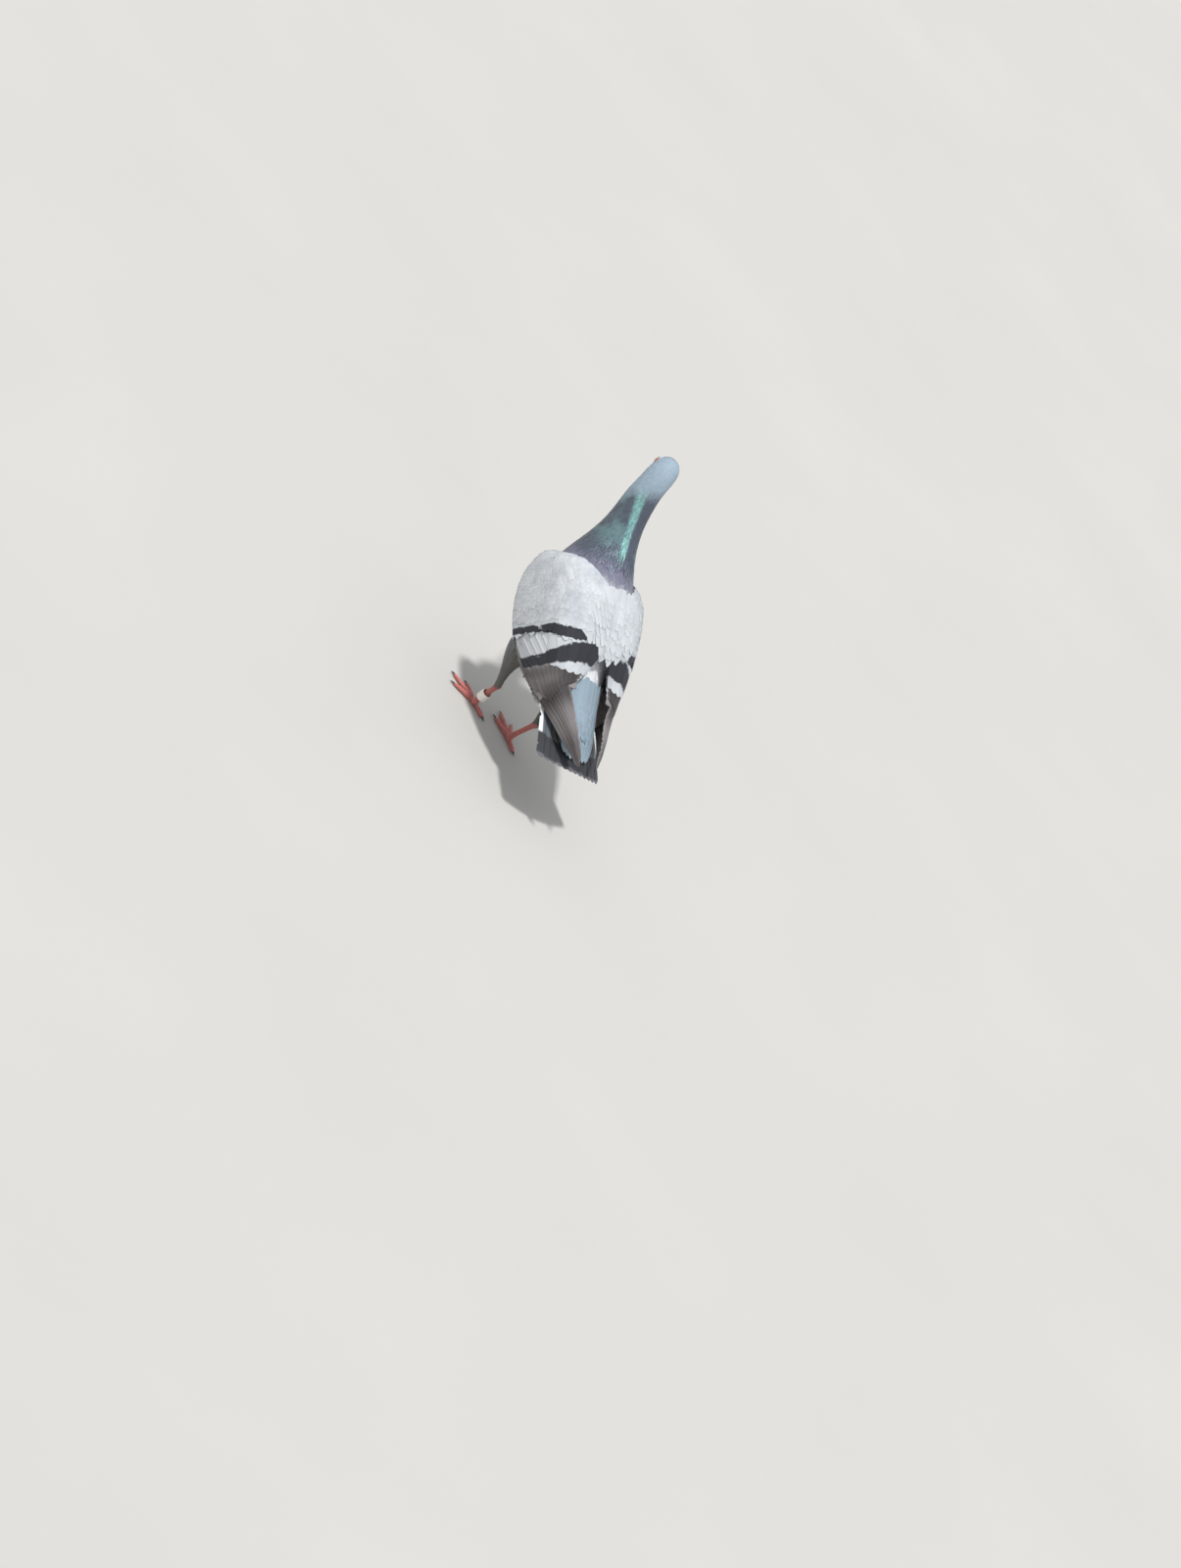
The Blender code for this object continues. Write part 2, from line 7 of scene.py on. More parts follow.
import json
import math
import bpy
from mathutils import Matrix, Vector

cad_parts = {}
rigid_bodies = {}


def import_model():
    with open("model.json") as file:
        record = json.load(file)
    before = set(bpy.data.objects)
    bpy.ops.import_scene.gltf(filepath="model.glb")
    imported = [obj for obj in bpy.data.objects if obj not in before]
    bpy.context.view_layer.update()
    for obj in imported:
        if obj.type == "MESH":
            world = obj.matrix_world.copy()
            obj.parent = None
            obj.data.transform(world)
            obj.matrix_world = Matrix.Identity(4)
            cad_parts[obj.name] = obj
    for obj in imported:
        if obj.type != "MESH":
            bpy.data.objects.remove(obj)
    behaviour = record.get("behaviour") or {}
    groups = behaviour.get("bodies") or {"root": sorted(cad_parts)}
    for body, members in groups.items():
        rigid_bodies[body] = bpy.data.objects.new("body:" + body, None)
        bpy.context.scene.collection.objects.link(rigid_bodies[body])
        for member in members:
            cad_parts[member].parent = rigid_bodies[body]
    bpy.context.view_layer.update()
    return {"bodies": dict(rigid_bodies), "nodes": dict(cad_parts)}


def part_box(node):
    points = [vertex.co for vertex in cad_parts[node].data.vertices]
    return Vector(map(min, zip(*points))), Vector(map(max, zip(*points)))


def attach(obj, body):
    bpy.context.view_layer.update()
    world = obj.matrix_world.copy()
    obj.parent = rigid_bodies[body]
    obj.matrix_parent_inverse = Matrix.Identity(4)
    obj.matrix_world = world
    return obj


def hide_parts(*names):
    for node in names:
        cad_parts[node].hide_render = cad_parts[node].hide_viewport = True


bl_info = {
    "name": "Blue-Bar Pigeon",
    "version": (1, 0, 0),
    "blender": (4, 5, 0),
    "location": "View3D > Sidebar > Pigeon",
    "description": "Feathers a standing pigeon over its solid frame",
    "category": "Object",
}

from functools import cache

import bmesh
import bpy
import numpy as np
from bpy.props import FloatProperty, FloatVectorProperty, IntProperty, PointerProperty
from mathutils import Quaternion, Vector
from mathutils.bvhtree import BVHTree
from mathutils.kdtree import KDTree

for start_object in list(bpy.data.objects):
    bpy.data.objects.remove(start_object)

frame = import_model()
BODY = next(iter(frame["bodies"]))
MM = 0.001
SIDES = {"left": 1, "right": -1}
FLESH = ("head", "neck", "trunk", "thigh_left", "thigh_right", "wing_left", "wing_right")

# Line through the middle of the body, from the bill's root over head and neck to the tail's root.
SPINE = (
    (-15.0, -112.0, 260.0),
    (-5.0, -96.5, 260.0),
    (1.5, -85.0, 238.0),
    (2.5, -75.0, 216.0),
    (0.5, -62.0, 184.0),
    (0.0, -45.0, 150.0),
    (0.0, -20.0, 122.0),
    (0.0, 15.0, 98.0),
    (0.0, 55.0, 86.0),
    (0.0, 92.0, 80.0),
)
SPINE_STEP = 2.0

# Distance between body feathers, by how far along the spine they grow: (along the spine, distance)
FEATHER_GAPS = (
    (0.0, 0.75),
    (14.0, 0.9),
    (40.0, 1.2),
    (60.0, 1.45),
    (100.0, 2.1),
    (130.0, 2.9),
    (180.0, 3.5),
    (300.0, 3.8),
)
# Depth of the coat over the skin, along the spine
COAT_DEPTHS = ((0.0, 0.35), (14.0, 0.7), (45.0, 1.0), (100.0, 1.6), (140.0, 2.1), (300.0, 2.1))

# The front bar's middle lies where y = BAR_BACK - BAR_SLANT * (BAR_TOP - z); "past" is measured from there.
# The rear bar's middle lies REAR_BAR_PAST behind it at the height REAR_BAR_LOW, and bows forward elsewhere.
BAR_BACK, BAR_SLANT, BAR_TOP = 28.0, 0.72, 146.0
REAR_BAR_PAST, REAR_BAR_BOW, REAR_BAR_LOW = 37.5, 0.0085, 88.0

# How far tailward the tail's sheet begins, and where a ramp leaves the trunk and reaches the tail
TAIL_ROOT = 46.0
RAMP_START, RAMP_LEAVES, RAMP_END = 40.0, 64.0, 111.0
WING_ROWS, WING_COLUMNS = 66, 33


# ---------------------------------------------------------------- settings


class PigeonSizes(bpy.types.PropertyGroup):
    """Sizes of the coat that a user may change."""

    skin_voxel: FloatProperty(
        name="Skin Voxel", description="Cell size of the skin's mesh", default=0.0013, unit="LENGTH"
    )
    lift: FloatProperty(
        name="Lift", description="How much faster or slower feathers rise from the skin", default=1.0
    )
    ruffle: FloatProperty(
        name="Ruffle", description="Largest random turn of a small feather", default=0.12, subtype="ANGLE"
    )
    patch: FloatProperty(
        name="Patch", description="Size of a feather's patch on the bake map", default=0.003
    )
    seed: IntProperty(name="Seed", description="Seed of everything random", default=11)


class PigeonColours(bpy.types.PropertyGroup):
    """Colours of the plumage and the bare parts."""


def colour_property(name, value, description):
    return FloatVectorProperty(
        name=name, description=description, default=value, subtype="COLOR", size=3, min=0.0, max=1.0
    )


COLOUR_TABLE = (
    ("head", (0.345, 0.44, 0.525), "Crown and cheeks"),
    ("neck", (0.105, 0.125, 0.165), "Dark slate of the neck"),
    # green: the neck's own green at the sides, and at full strength its painted highlight streak
    ("green", (0.30, 0.60, 0.57), "Green gloss of the neck"),
    ("violet", (0.185, 0.18, 0.25), "Violet gloss at the neck's root"),
    ("breast", (0.12, 0.13, 0.165), "Upper breast"),
    ("belly", (0.25, 0.285, 0.325), "Belly"),
    # flank: the grey of flanks and thighs, darkened as painted shade; also used on the wings' inner faces and
    # the vent's sides
    ("flank", (0.125, 0.12, 0.107), "Flanks, thighs and vent"),
    ("shield", (0.56, 0.58, 0.602), "Pale shield of the wing and the mantle"),
    ("bar", (0.017, 0.019, 0.026), "The two bars across the wing"),
    ("white", (0.80, 0.81, 0.82), "White of the lower back and the outer tail feathers"),
    ("rump", (0.27, 0.355, 0.42), "Rump and tail"),
    ("band", (0.022, 0.023, 0.029), "Dark band of the tail"),
    ("tip", (0.11, 0.108, 0.12), "Thin edge of the tail's end"),
    ("flight", (0.245, 0.222, 0.222), "Long flight feathers"),
    ("flight_dark", (0.042, 0.035, 0.036), "Inner flight feathers"),
    ("flight_edge", (0.33, 0.305, 0.295), "Paler edges of the flight feathers"),
    ("leg", (0.53, 0.13, 0.11), "Scaly skin of legs and toes"),
    ("scute", (0.62, 0.27, 0.235), "Raised edges of the scales"),
    ("claw", (0.035, 0.03, 0.03), "Claws"),
    ("bill", (0.045, 0.042, 0.048), "Horn of the bill"),
    ("cere", (0.72, 0.68, 0.65), "Chalky cere"),
    ("iris", (0.58, 0.095, 0.012), "Iris"),
    ("lid", (0.31, 0.30, 0.325), "Bare ring round the eye"),
    ("ring", (0.93, 0.87, 0.80), "Ring on the leg"),
    ("floor", (0.50, 0.485, 0.455), "Floor"),
)
for colour_name, colour_value, colour_note in COLOUR_TABLE:
    PigeonColours.__annotations__[colour_name] = colour_property(
        colour_name.replace("_", " ").title(), colour_value, colour_note
    )


class PigeonStage(bpy.types.PropertyGroup):
    """Camera and light."""

    azimuth: FloatProperty(
        name="Azimuth", description="Turn of the camera about the bird", default=math.radians(131),
        subtype="ANGLE",
    )
    elevation: FloatProperty(
        name="Elevation", description="Height angle of the camera", default=math.radians(24), subtype="ANGLE"
    )
    roll: FloatProperty(
        name="Roll", description="Roll of the camera", default=math.radians(50.5), subtype="ANGLE"
    )
    distance: FloatProperty(
        name="Distance", description="From the camera to the bird", default=4.0, unit="LENGTH"
    )
    aside: FloatProperty(
        name="Aside", description="How far right of the feet the camera aims", default=0.0943, unit="LENGTH"
    )
    below: FloatProperty(
        name="Below", description="How far under the feet the camera aims", default=0.0598, unit="LENGTH"
    )
    lens: FloatProperty(name="Lens", description="Focal length in millimetres", default=100.0)
    sun: FloatProperty(name="Key Light", description="Strength of the key light", default=2.7)
    sky: FloatProperty(name="Sky", description="Strength of the even light", default=0.75)


def sizes():
    return bpy.context.scene.pigeon_sizes


def colour(name):
    return (*getattr(bpy.context.scene.pigeon_colours, name), 1.0)


# ---------------------------------------------------------------- node trees


class Value:
    """A socket that takes part in sums like a number; each sum adds a Math node."""

    def __init__(self, tree, socket):
        self.tree, self.socket = tree, socket

    def sum(self, operation, first, second=0.0):
        return self.tree.make("ShaderNodeMath", {"operation": operation}, {0: first, 1: second})

    __add__ = __radd__ = lambda self, other: self.sum("ADD", self, other)
    __mul__ = __rmul__ = lambda self, other: self.sum("MULTIPLY", self, other)
    __sub__ = lambda self, other: self.sum("SUBTRACT", self, other)
    __rsub__ = lambda self, other: self.sum("SUBTRACT", other, self)
    __truediv__ = lambda self, other: self.sum("DIVIDE", self, other)
    __neg__ = lambda self: self.sum("MULTIPLY", self, -1.0)
    __abs__ = lambda self: self.sum("ABSOLUTE", self)

    def most(self, other):
        return self.sum("MAXIMUM", self, other)

    def sine(self):
        return self.sum("SINE", self)


class Tree:
    """Adds nodes to a node tree. Every node comes from make()."""

    def __init__(self, nodes):
        self.nodes = nodes

    def make(self, kind, settings=None, values=None, out=0):
        node = self.nodes.nodes.new(kind)
        for name, value in (settings or {}).items():
            setattr(node, name, value)
        for key, value in (values or {}).items():
            if isinstance(value, Value):
                self.nodes.links.new(value.socket, node.inputs[key])
            else:
                node.inputs[key].default_value = value
        return Value(self, node.outputs[out])

    def split(self, vector):
        first = self.make("ShaderNodeSeparateXYZ", None, {0: vector})
        return [Value(self, socket) for socket in first.socket.node.outputs]

    def vector(self, operation, first, second):
        return self.make("ShaderNodeVectorMath", {"operation": operation}, {0: first, 1: second})

    def scaled(self, vector, factor):
        return self.make("ShaderNodeVectorMath", {"operation": "SCALE"}, {0: vector, 3: factor})

    def step(self, value, low, high):
        """0 below low and 1 above high, with a smooth rise between them."""
        settings = {"interpolation_type": "SMOOTHSTEP", "clamp": True}
        return self.make("ShaderNodeMapRange", settings, {0: value, 1: low, 2: high})

    def within(self, value, low, high, soft):
        return self.step(value, low - soft, low + soft) * (1 - self.step(value, high - soft, high + soft))

    def mix(self, factor, first, second):
        """Two colours mixed; each is a value or the name of one of the bird's colours."""
        first, second = (colour(shade) if isinstance(shade, str) else shade for shade in (first, second))
        return self.make("ShaderNodeMix", {"data_type": "RGBA"}, {0: factor, 6: first, 7: second}, 2)

    def blend(self, factor, first, second):
        """Two vectors mixed."""
        return self.make("ShaderNodeMix", {"data_type": "VECTOR"}, {0: factor, 4: first, 5: second}, 1)

    def tint(self, shade, factor):
        """A colour, as a value or by its name, times a number."""
        return self.scaled(colour(shade)[:3] if isinstance(shade, str) else shade, factor)


class Paint(Tree):
    """The nodes of one material, ending in its Principled shader."""

    def __init__(self, name, **constants):
        self.material = bpy.data.materials.new(name)
        self.material.use_nodes = True
        super().__init__(self.material.node_tree)
        self.shader = self.nodes.nodes["Principled BSDF"]
        for key, value in constants.items():
            self.shader.inputs[key.replace("_", " ")].default_value = value

    def attribute(self, name, out=1):
        settings = {"attribute_type": "GEOMETRY", "attribute_name": name}
        return self.make("ShaderNodeAttribute", settings, None, out)

    def noise(self, place, scale, detail=3.0):
        return self.make("ShaderNodeTexNoise", None, {"Vector": place, "Scale": scale, "Detail": detail})

    def place(self):
        return self.make("ShaderNodeTexCoord", None, None, 3)

    def link(self, socket, value):
        self.nodes.links.new(value.socket, self.shader.inputs[socket])

    def bump(self, height, distance, strength=1.0):
        values = {"Strength": strength, "Distance": distance, "Height": height}
        self.link("Normal", self.make("ShaderNodeBump", None, values))


def clouded(name, shade, base, clouds, fine, **constants):
    """A colour varied by noises of (scale, detail, share of the colour, share of the bumps)."""
    m = Paint(name, **constants)
    place, light, height = m.place(), base, 0.0
    for scale, detail, of_colour, of_bump in clouds:
        cloud = m.noise(place, scale, detail)
        light, height = cloud * of_colour + light, cloud * of_bump + height
    m.link("Base Color", m.tint(shade, light))
    if fine:
        m.bump(height, fine)
    return m.material


def horn(name, shade, roughness, fine):
    streaks, grain = (220.0, 4.0, 0.7, 0.6), (1400.0, 3.0, 0.0, 0.4)
    gloss = {"Coat_Weight": 0.25, "Coat_Roughness": 0.25}
    return clouded(name, shade, 0.7, (streaks, grain), fine, Roughness=roughness, **gloss)


# ---------------------------------------------------------------- markings
# A painter gives the colour of a place (x, y, z) in millimetres. The material m that it draws with holds
# the same place as the vector seat, a cloudy number soft from 0 to 1, and rough, the same from -0.5 to 0.5,
# which frays the edge of each marking.


def past_front_bar(y, z):
    """How far a place lies behind the middle of the wing's front bar, in millimetres."""
    return y - BAR_BACK + (BAR_TOP - z) * BAR_SLANT


def past_rear_bar(y, z):
    """How far a place lies behind the middle of the wing's rear bar, in millimetres."""
    drop = z - REAR_BAR_LOW
    return past_front_bar(y, z) - REAR_BAR_PAST + drop * drop * REAR_BAR_BOW


def up_the_neck(y, z):
    """How far a place lies up the slanting line from the back to the crown."""
    return z * 0.839 - y * 0.545


def neck_colour(m, x, y, z):
    """Slate of the neck, a painted green highlight down the back's left, its own green at the sides, and
    violet at its root.
    """
    slope = up_the_neck(y, z)
    shade = m.mix(m.step(slope, 168.0, 186.0), "violet", "neck")
    behind = m.step(y + 62.0 + (z - 184.0) * 0.426, -4.0, 4.0)
    # Painted highlight: a thin green streak down the left of the neck's back, mottled by noise.
    line = 1 - m.step(abs(x - 7.9 - (z - 204.7) * 0.15), 1.6, 4.4)
    mottled = m.step(m.noise(m.seat, 0.42, 2.0), 0.36, 0.60) * 0.55 + 0.45
    green_highlight = line * behind * m.within(z, 198.0, 250.0, 5.0) * mottled
    sides = m.step(abs(x - 1.5), 5.0, 13.0) * m.within(z, 190.0, 240.0, 9.0) * m.step(m.soft, 0.42, 0.62)
    shade = m.mix(green_highlight.most(sides * 0.3), shade, "green")
    return m.mix(m.within(slope, 158.0, 176.0, 6.0) * m.step(m.soft, 0.5, 0.66) * 0.5, shade, "violet")


def body_colour(m, x, y, z):
    """Colour of head, neck, back and underparts."""
    under = m.mix(m.step(y + (110.0 - z) * 0.4, -40.0, 25.0), "breast", "belly")
    # The low rear underparts and thighs take the flank colour: painted shade.
    under = m.mix(m.step(y - z * 0.3 + m.rough * 12.0, -54.0, -24.0), under, "flank")
    above = m.mix(m.step(y + m.rough * 8.0, 36.0, 46.0), "shield", "rump")
    above = m.mix(m.within(y, 29.0, 43.0, 3.0) * (1 - m.step(abs(x), 12.0, 18.0)), above, "white")
    beside_rump = m.step(abs(x) - (55.0 - y).most(0.0) * 0.25, 16.5, 18.5) * m.step(y, 40.0, 46.0)
    above = m.mix(beside_rump, above, "flight")
    back = m.step(z + y * 0.35 + m.rough * 6.0, 118.0, 130.0)
    shade = m.mix(back.most(m.step(y, 52.0, 64.0) * m.step(z, 80.0, 90.0)), under, above)
    neck = m.step(up_the_neck(y, z) + (-45.0 - y).most(0.0) * 0.35 + m.rough * 12.0, 154.0, 171.0)
    shade = m.mix(neck, shade, neck_colour(m, x, y, z))
    return m.mix(m.step(z * 0.62 - y * 0.78 + m.rough * 10.0, 204.0, 219.0), shade, "head")


def bar_mask(m, x, y, z):
    """Where the two bars of a wing lie."""
    wave = (m.noise(m.seat, 0.13, 2.0) - 0.5) * 7.0
    past = past_front_bar(y, z) + wave
    low = 1 - m.step(z, 112.0, 134.0)
    narrow = 1 - m.step(abs(x) + m.rough * 6.0, 22.0, 38.0)
    front = m.step(past - low * 1.8 - narrow * 10.0, -6.0, -4.6) * (1 - m.step(past + low * 2.4, 6.0, 7.4))
    left_end = m.step(x + m.rough * 14.0 + past * 0.25, 15.0, 18.0)
    right_end = m.step(-x + past * 0.25 + m.rough * 14.0, 29.0, 32.0)
    rear = m.within(past_rear_bar(y, z) + wave * 0.8, -5.4, 7.0, 0.8)
    return (front * left_end.most(right_end)).most(rear)


def underwing_colour(m, x, y, z):
    """Small feathers of the wing's inner face: pale at the wrist, then painted shade in the flank colour,
    then flight brown behind.
    """
    shade = m.mix(m.step(y, -45.0, -5.0), "shield", "flank")
    return m.mix(m.step(y, 0.0, 35.0), shade, "flight")


def shield_colour(m, x, y, z):
    """Pale shield of the wing with its bars."""
    pale = m.mix(m.step(m.soft, 0.35, 0.75) * 0.35, "shield", "belly")
    gap = m.within(z + m.rough * 12.0, 116.5, 120.0, 0.4)
    broken = gap * m.step(x, 0.0, 5.0) * m.step(8.0 - y, -4.0, 4.0)
    shade = m.mix(bar_mask(m, x, y, z) * (1 - broken * 0.75), pale, "bar")
    return m.mix(m.step(past_rear_bar(y, z), 9.0, 12.0) * (1 - m.step(z, 112.0, 118.0)), shade, "flight")


def mantle_colour(m, x, y, z):
    """Pale feathers over the roots of the wings."""
    return m.mix(m.step(m.soft, 0.35, 0.75) * 0.25, "shield", "belly")


def rump_colour(m, x, y, z):
    """Blue-grey coverts over the tail's root."""
    return m.mix(m.step(m.soft, 0.35, 0.7) * 0.3, "rump", "belly")


def vent_colour(m, x, y, z):
    """Soft feathers under the tail's root, darker at the sides with painted shade in the flank colour."""
    return m.mix(m.step(abs(x) + m.rough * 8.0, 9.0, 17.0), "rump", "flank")


def flight_colour(m, x, y, z):
    """Flight feathers: pale under the coverts, a bar, then brown, darkest inwards, with paler edges."""
    rear = past_rear_bar(y, z)
    inward = 1 - m.step(abs(x) + m.rough * 8.0, 37.0, 51.0)
    depth = 1 - m.step(y, 66.0, 84.0) * 0.6 + m.step(y, 92.0, 110.0) * 0.4
    brown = m.mix(inward * depth, "flight", "flight_dark")
    brown = m.mix(m.step(abs(x), 47.0, 51.0) * 0.7, brown, "flight_edge")
    brown = m.mix(m.step(m.attribute("edge", 2), 0.6, 1.0) * 0.4, brown, "flight_edge")
    brown = m.mix(m.within(rear, 7.0, 18.0, 5.0) * 0.55, brown, "flight_dark")
    pale = m.mix(bar_mask(m, x, y, z), "shield", "bar")
    return m.mix(m.step(rear, 5.0, 7.5).most(m.step(y, 45.0, 49.0)), pale, brown)


def tail_colour(m, x, y, z):
    """Blue-grey tail with its dark band, thin paler end and white outer web on the left."""
    end = y + x * x * 0.0048
    shade = m.mix(m.step(m.attribute("edge", 2), 0.7, 1.0) * 0.25, "rump", "band")
    # Outer tail feathers darkened towards the inner flight colour: painted shade where they lie under the
    # wings.
    shade = m.mix(m.step(abs(x), 12.0, 20.0) * 0.75, shade, "flight_dark")
    spread = (y - 60.0) * 0.10
    web = m.step(x - spread, 31.3, 32.1).most(m.step(-x - spread, 40.4, 41.0))
    shade = m.mix(web * (1 - m.step(y, 89.0, 92.0)), shade, "white")
    shade = m.mix(m.step(end + m.rough * 3.0, 93.5, 97.0), shade, "band")
    return m.mix(m.step(end, 114.6, 116.2), shade, "tip")


def plumage(name, *painters, roughness=0.72, sheen=0.08, metal=0.0, barb=0.75):
    """A feather or skin material with barbs a distance apart. Two painters are mixed by the wing share."""
    m = Paint(name, Sheen_Weight=sheen, Sheen_Roughness=0.4, Roughness=roughness, Metallic=metal)
    m.seat = m.scaled(m.attribute("seat"), 1 / MM)
    x, y, z = m.split(m.seat)
    m.soft = m.noise(m.seat, 0.055, 2.0)
    m.rough = m.soft - 0.5
    shades = [painter(m, x, y, z) for painter in painters]
    shade = shades[0] if len(shades) == 1 else m.mix(m.attribute("wing", 2), *shades)
    across, along, length = m.split(m.scaled(m.attribute("vane"), 1 / MM))
    shaft = 1 - m.step(abs(across), 0.10, 0.32)
    waves = ((along - abs(across) * 0.75) * (2 * math.pi / barb)).sine()
    light = 0.95 + (m.attribute("tone", 2) - 0.5) * 0.13 + m.step(along / length, 0.66, 1.0) * 0.11
    light = light + waves * 0.02 - shaft * m.step(length, 18.0, 40.0) * 0.22
    m.link("Base Color", m.tint(shade, light))
    fine = m.noise(m.place(), 900.0, 2.0)
    m.bump(waves * 0.6 + fine * 0.5 + shaft * 1.2, 0.00009, 0.55)
    return m.material


# ---------------------------------------------------------------- meshes


def unit(vectors):
    return vectors / np.maximum(np.linalg.norm(vectors, axis=-1, keepdims=True), 1e-12)


def vectors_of(items, key):
    """The named vector of each item, as rows."""
    flat = np.empty(len(items) * 3, np.float32)
    items.foreach_get(key, flat)
    return flat.reshape(-1, 3).astype(float)


def coordinates(mesh):
    return vectors_of(mesh.vertices, "co")


def store(mesh, name, values):
    """Puts a number or a vector for each point on the mesh."""
    values = np.asarray(values, np.float32)
    kind, key = ("FLOAT", "value") if values.ndim == 1 else ("FLOAT_VECTOR", "vector")
    attribute = mesh.attributes.new(name, kind, "POINT")
    attribute.data.foreach_set(key, values.ravel())


def object_of(name, mesh, material=None):
    piece = bpy.data.objects.new(name, mesh)
    bpy.context.scene.collection.objects.link(piece)
    if material:
        mesh.materials.append(material)
    return piece


def modify(piece, kind, **settings):
    """Adds a modifier with its settings."""
    modifier = piece.modifiers.new(kind.title(), kind)
    for key, value in settings.items():
        setattr(modifier, key, value)


def mesh_of(name, points, faces, smooth=True, sharp=None):
    mesh = bpy.data.meshes.new(name)
    mesh.from_pydata([tuple(point) for point in points], [], faces)
    mesh.validate()
    if smooth:
        mesh.shade_smooth()
    if sharp:
        mesh.set_sharp_from_angle(angle=math.radians(sharp))
    return mesh


def finish(piece, slot, *nodes):
    """A piece is done: it rides with the body and stands for its nodes, which are hidden. Its slot is not
    used.
    """
    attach(piece, BODY)
    if nodes:
        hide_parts(*nodes)
    return piece


def evaluated(obj, name):
    """The object with its modifiers made into a plain mesh, under a new name."""
    graph = bpy.context.evaluated_depsgraph_get()
    mesh = bpy.data.meshes.new_from_object(obj.evaluated_get(graph))
    mesh.name = name
    old = obj.data
    bpy.data.objects.remove(obj)
    bpy.data.meshes.remove(old)
    return object_of(name, mesh)


def copy_of_nodes(name, nodes):
    """One mesh of the frame's nodes, with the loose triangles of each merged."""
    points, faces = [], []
    for node in nodes:
        mesh = frame["nodes"][node].data
        kept, index = {}, []
        for co in coordinates(mesh):
            key = tuple(np.round(co * 1e6).astype(int))
            if key not in kept:
                kept[key] = len(points)
                points.append(co)
            index.append(kept[key])
        for polygon in mesh.polygons:
            face = [index[v] for v in polygon.vertices]
            if len(set(face)) == len(face):
                faces.append(face)
    return object_of(name, mesh_of(name, points, faces))


def remeshed(obj, voxel, rounds, name, swell=0.0):
    """The object as one closed skin of even cells, smoothed, and swollen by a distance."""
    modify(obj, "REMESH", mode="VOXEL", voxel_size=voxel, use_smooth_shade=True)
    modify(obj, "SMOOTH", factor=0.5, iterations=rounds)
    if swell:
        modify(obj, "DISPLACE", mid_level=0.0, strength=swell)
    return evaluated(obj, name)


def eased_nodes(name, nodes, voxel, rounds, material, slot, swell=0.0):
    """One smooth closed piece in place of the nodes."""
    piece = remeshed(copy_of_nodes(name + "_copy", nodes), voxel, rounds, name, swell)
    piece.data.materials.append(material)
    return finish(piece, slot, *nodes)


def largest_part(mesh):
    """Drops closed shells inside the mesh, keeping the part with the most points."""
    links = np.empty(len(mesh.edges) * 2, np.int32)
    mesh.edges.foreach_get("vertices", links)
    links = links.reshape(-1, 2)
    label = np.arange(len(mesh.vertices))
    while True:
        low = np.minimum(label[links[:, 0]], label[links[:, 1]])
        fresh = label.copy()
        np.minimum.at(fresh, links[:, 0], low)
        np.minimum.at(fresh, links[:, 1], low)
        fresh = fresh[fresh]
        if (fresh == label).all():
            break
        label = fresh
    main = np.bincount(label).argmax()
    keep = label == main
    if keep.all():
        return mesh
    index = np.cumsum(keep) - 1
    points = coordinates(mesh)[keep]
    faces = [[index[v] for v in p.vertices] for p in mesh.polygons if keep[p.vertices[0]]]
    return mesh_of(mesh.name, points, faces)


def node_points(node):
    return coordinates(frame["nodes"][node].data)


def gathered(nodes):
    """Points and triangles of the frame's nodes, one after another."""
    points, faces = [], []
    for node in nodes:
        mesh = frame["nodes"][node].data
        base = len(points)
        points += list(coordinates(mesh))
        faces += [[base + v for v in p.vertices] for p in mesh.polygons]
    return points, faces


def search_tree(points, faces):
    """A tree for casting rays at faces and finding the nearest place on them."""
    return BVHTree.FromPolygons([Vector(point) for point in points], faces)


def tree_of(*nodes):
    return search_tree(*gathered(nodes))


def resampled(line, marks_for):
    """The marks that marks_for gives for the line's length, and the places at those lengths along it."""
    run = np.concatenate([[0], np.cumsum(np.linalg.norm(np.diff(line, axis=0), axis=1))])
    marks = marks_for(run[-1])
    return marks, np.stack([np.interp(marks, run, line[:, k]) for k in range(3)], 1)


def curve_through(points, step):
    """Places every step along a smooth curve through the points, and their directions."""
    table = np.array(points, float)
    padded = np.vstack([2 * table[0] - table[1], table, 2 * table[-1] - table[-2]])
    fine = []
    for i in range(len(table) - 1):
        a, b, c, d = padded[i : i + 4]
        for t in np.linspace(0, 1, 24, endpoint=False):
            cubic = 2 * b + (c - a) * t + (2 * a - 5 * b + 4 * c - d) * t**2 + (3 * b - a - 3 * c + d) * t**3
            fine.append(0.5 * cubic)
    fine = np.array(fine + [table[-1]])
    marks, places = resampled(fine, lambda length: np.arange(0, length, step))
    return marks, places, unit(np.gradient(places, axis=0))


class Spine:
    """The body's middle line, with the directions that point to its left and its back at each mark."""

    def __init__(self):
        self.marks, places, self.tailward = curve_through(SPINE, SPINE_STEP)
        self.places = places * MM
        left = np.array((1.0, 0.0, 0.0))
        self.left = np.zeros_like(self.places)
        for i in range(len(places) - 1, -1, -1):
            left = unit(left - self.tailward[i] * (left @ self.tailward[i]))
            self.left[i] = left
        self.back = np.cross(self.left, self.tailward)

    def locate(self, points):
        """How far along the spine each point lies, its angle from the back to the left, and its mark."""
        best = np.empty(len(points), int)
        for start in range(0, len(points), 4000):
            part = points[start : start + 4000]
            away = ((part[:, None] - self.places[None]) ** 2).sum(2)
            best[start : start + 4000] = away.argmin(1)
        reach = points - self.places[best]
        turn = np.arctan2((reach * self.left[best]).sum(1), (reach * self.back[best]).sum(1))
        along = self.marks[best] + (reach * self.tailward[best]).sum(1) / MM
        return along, turn, best


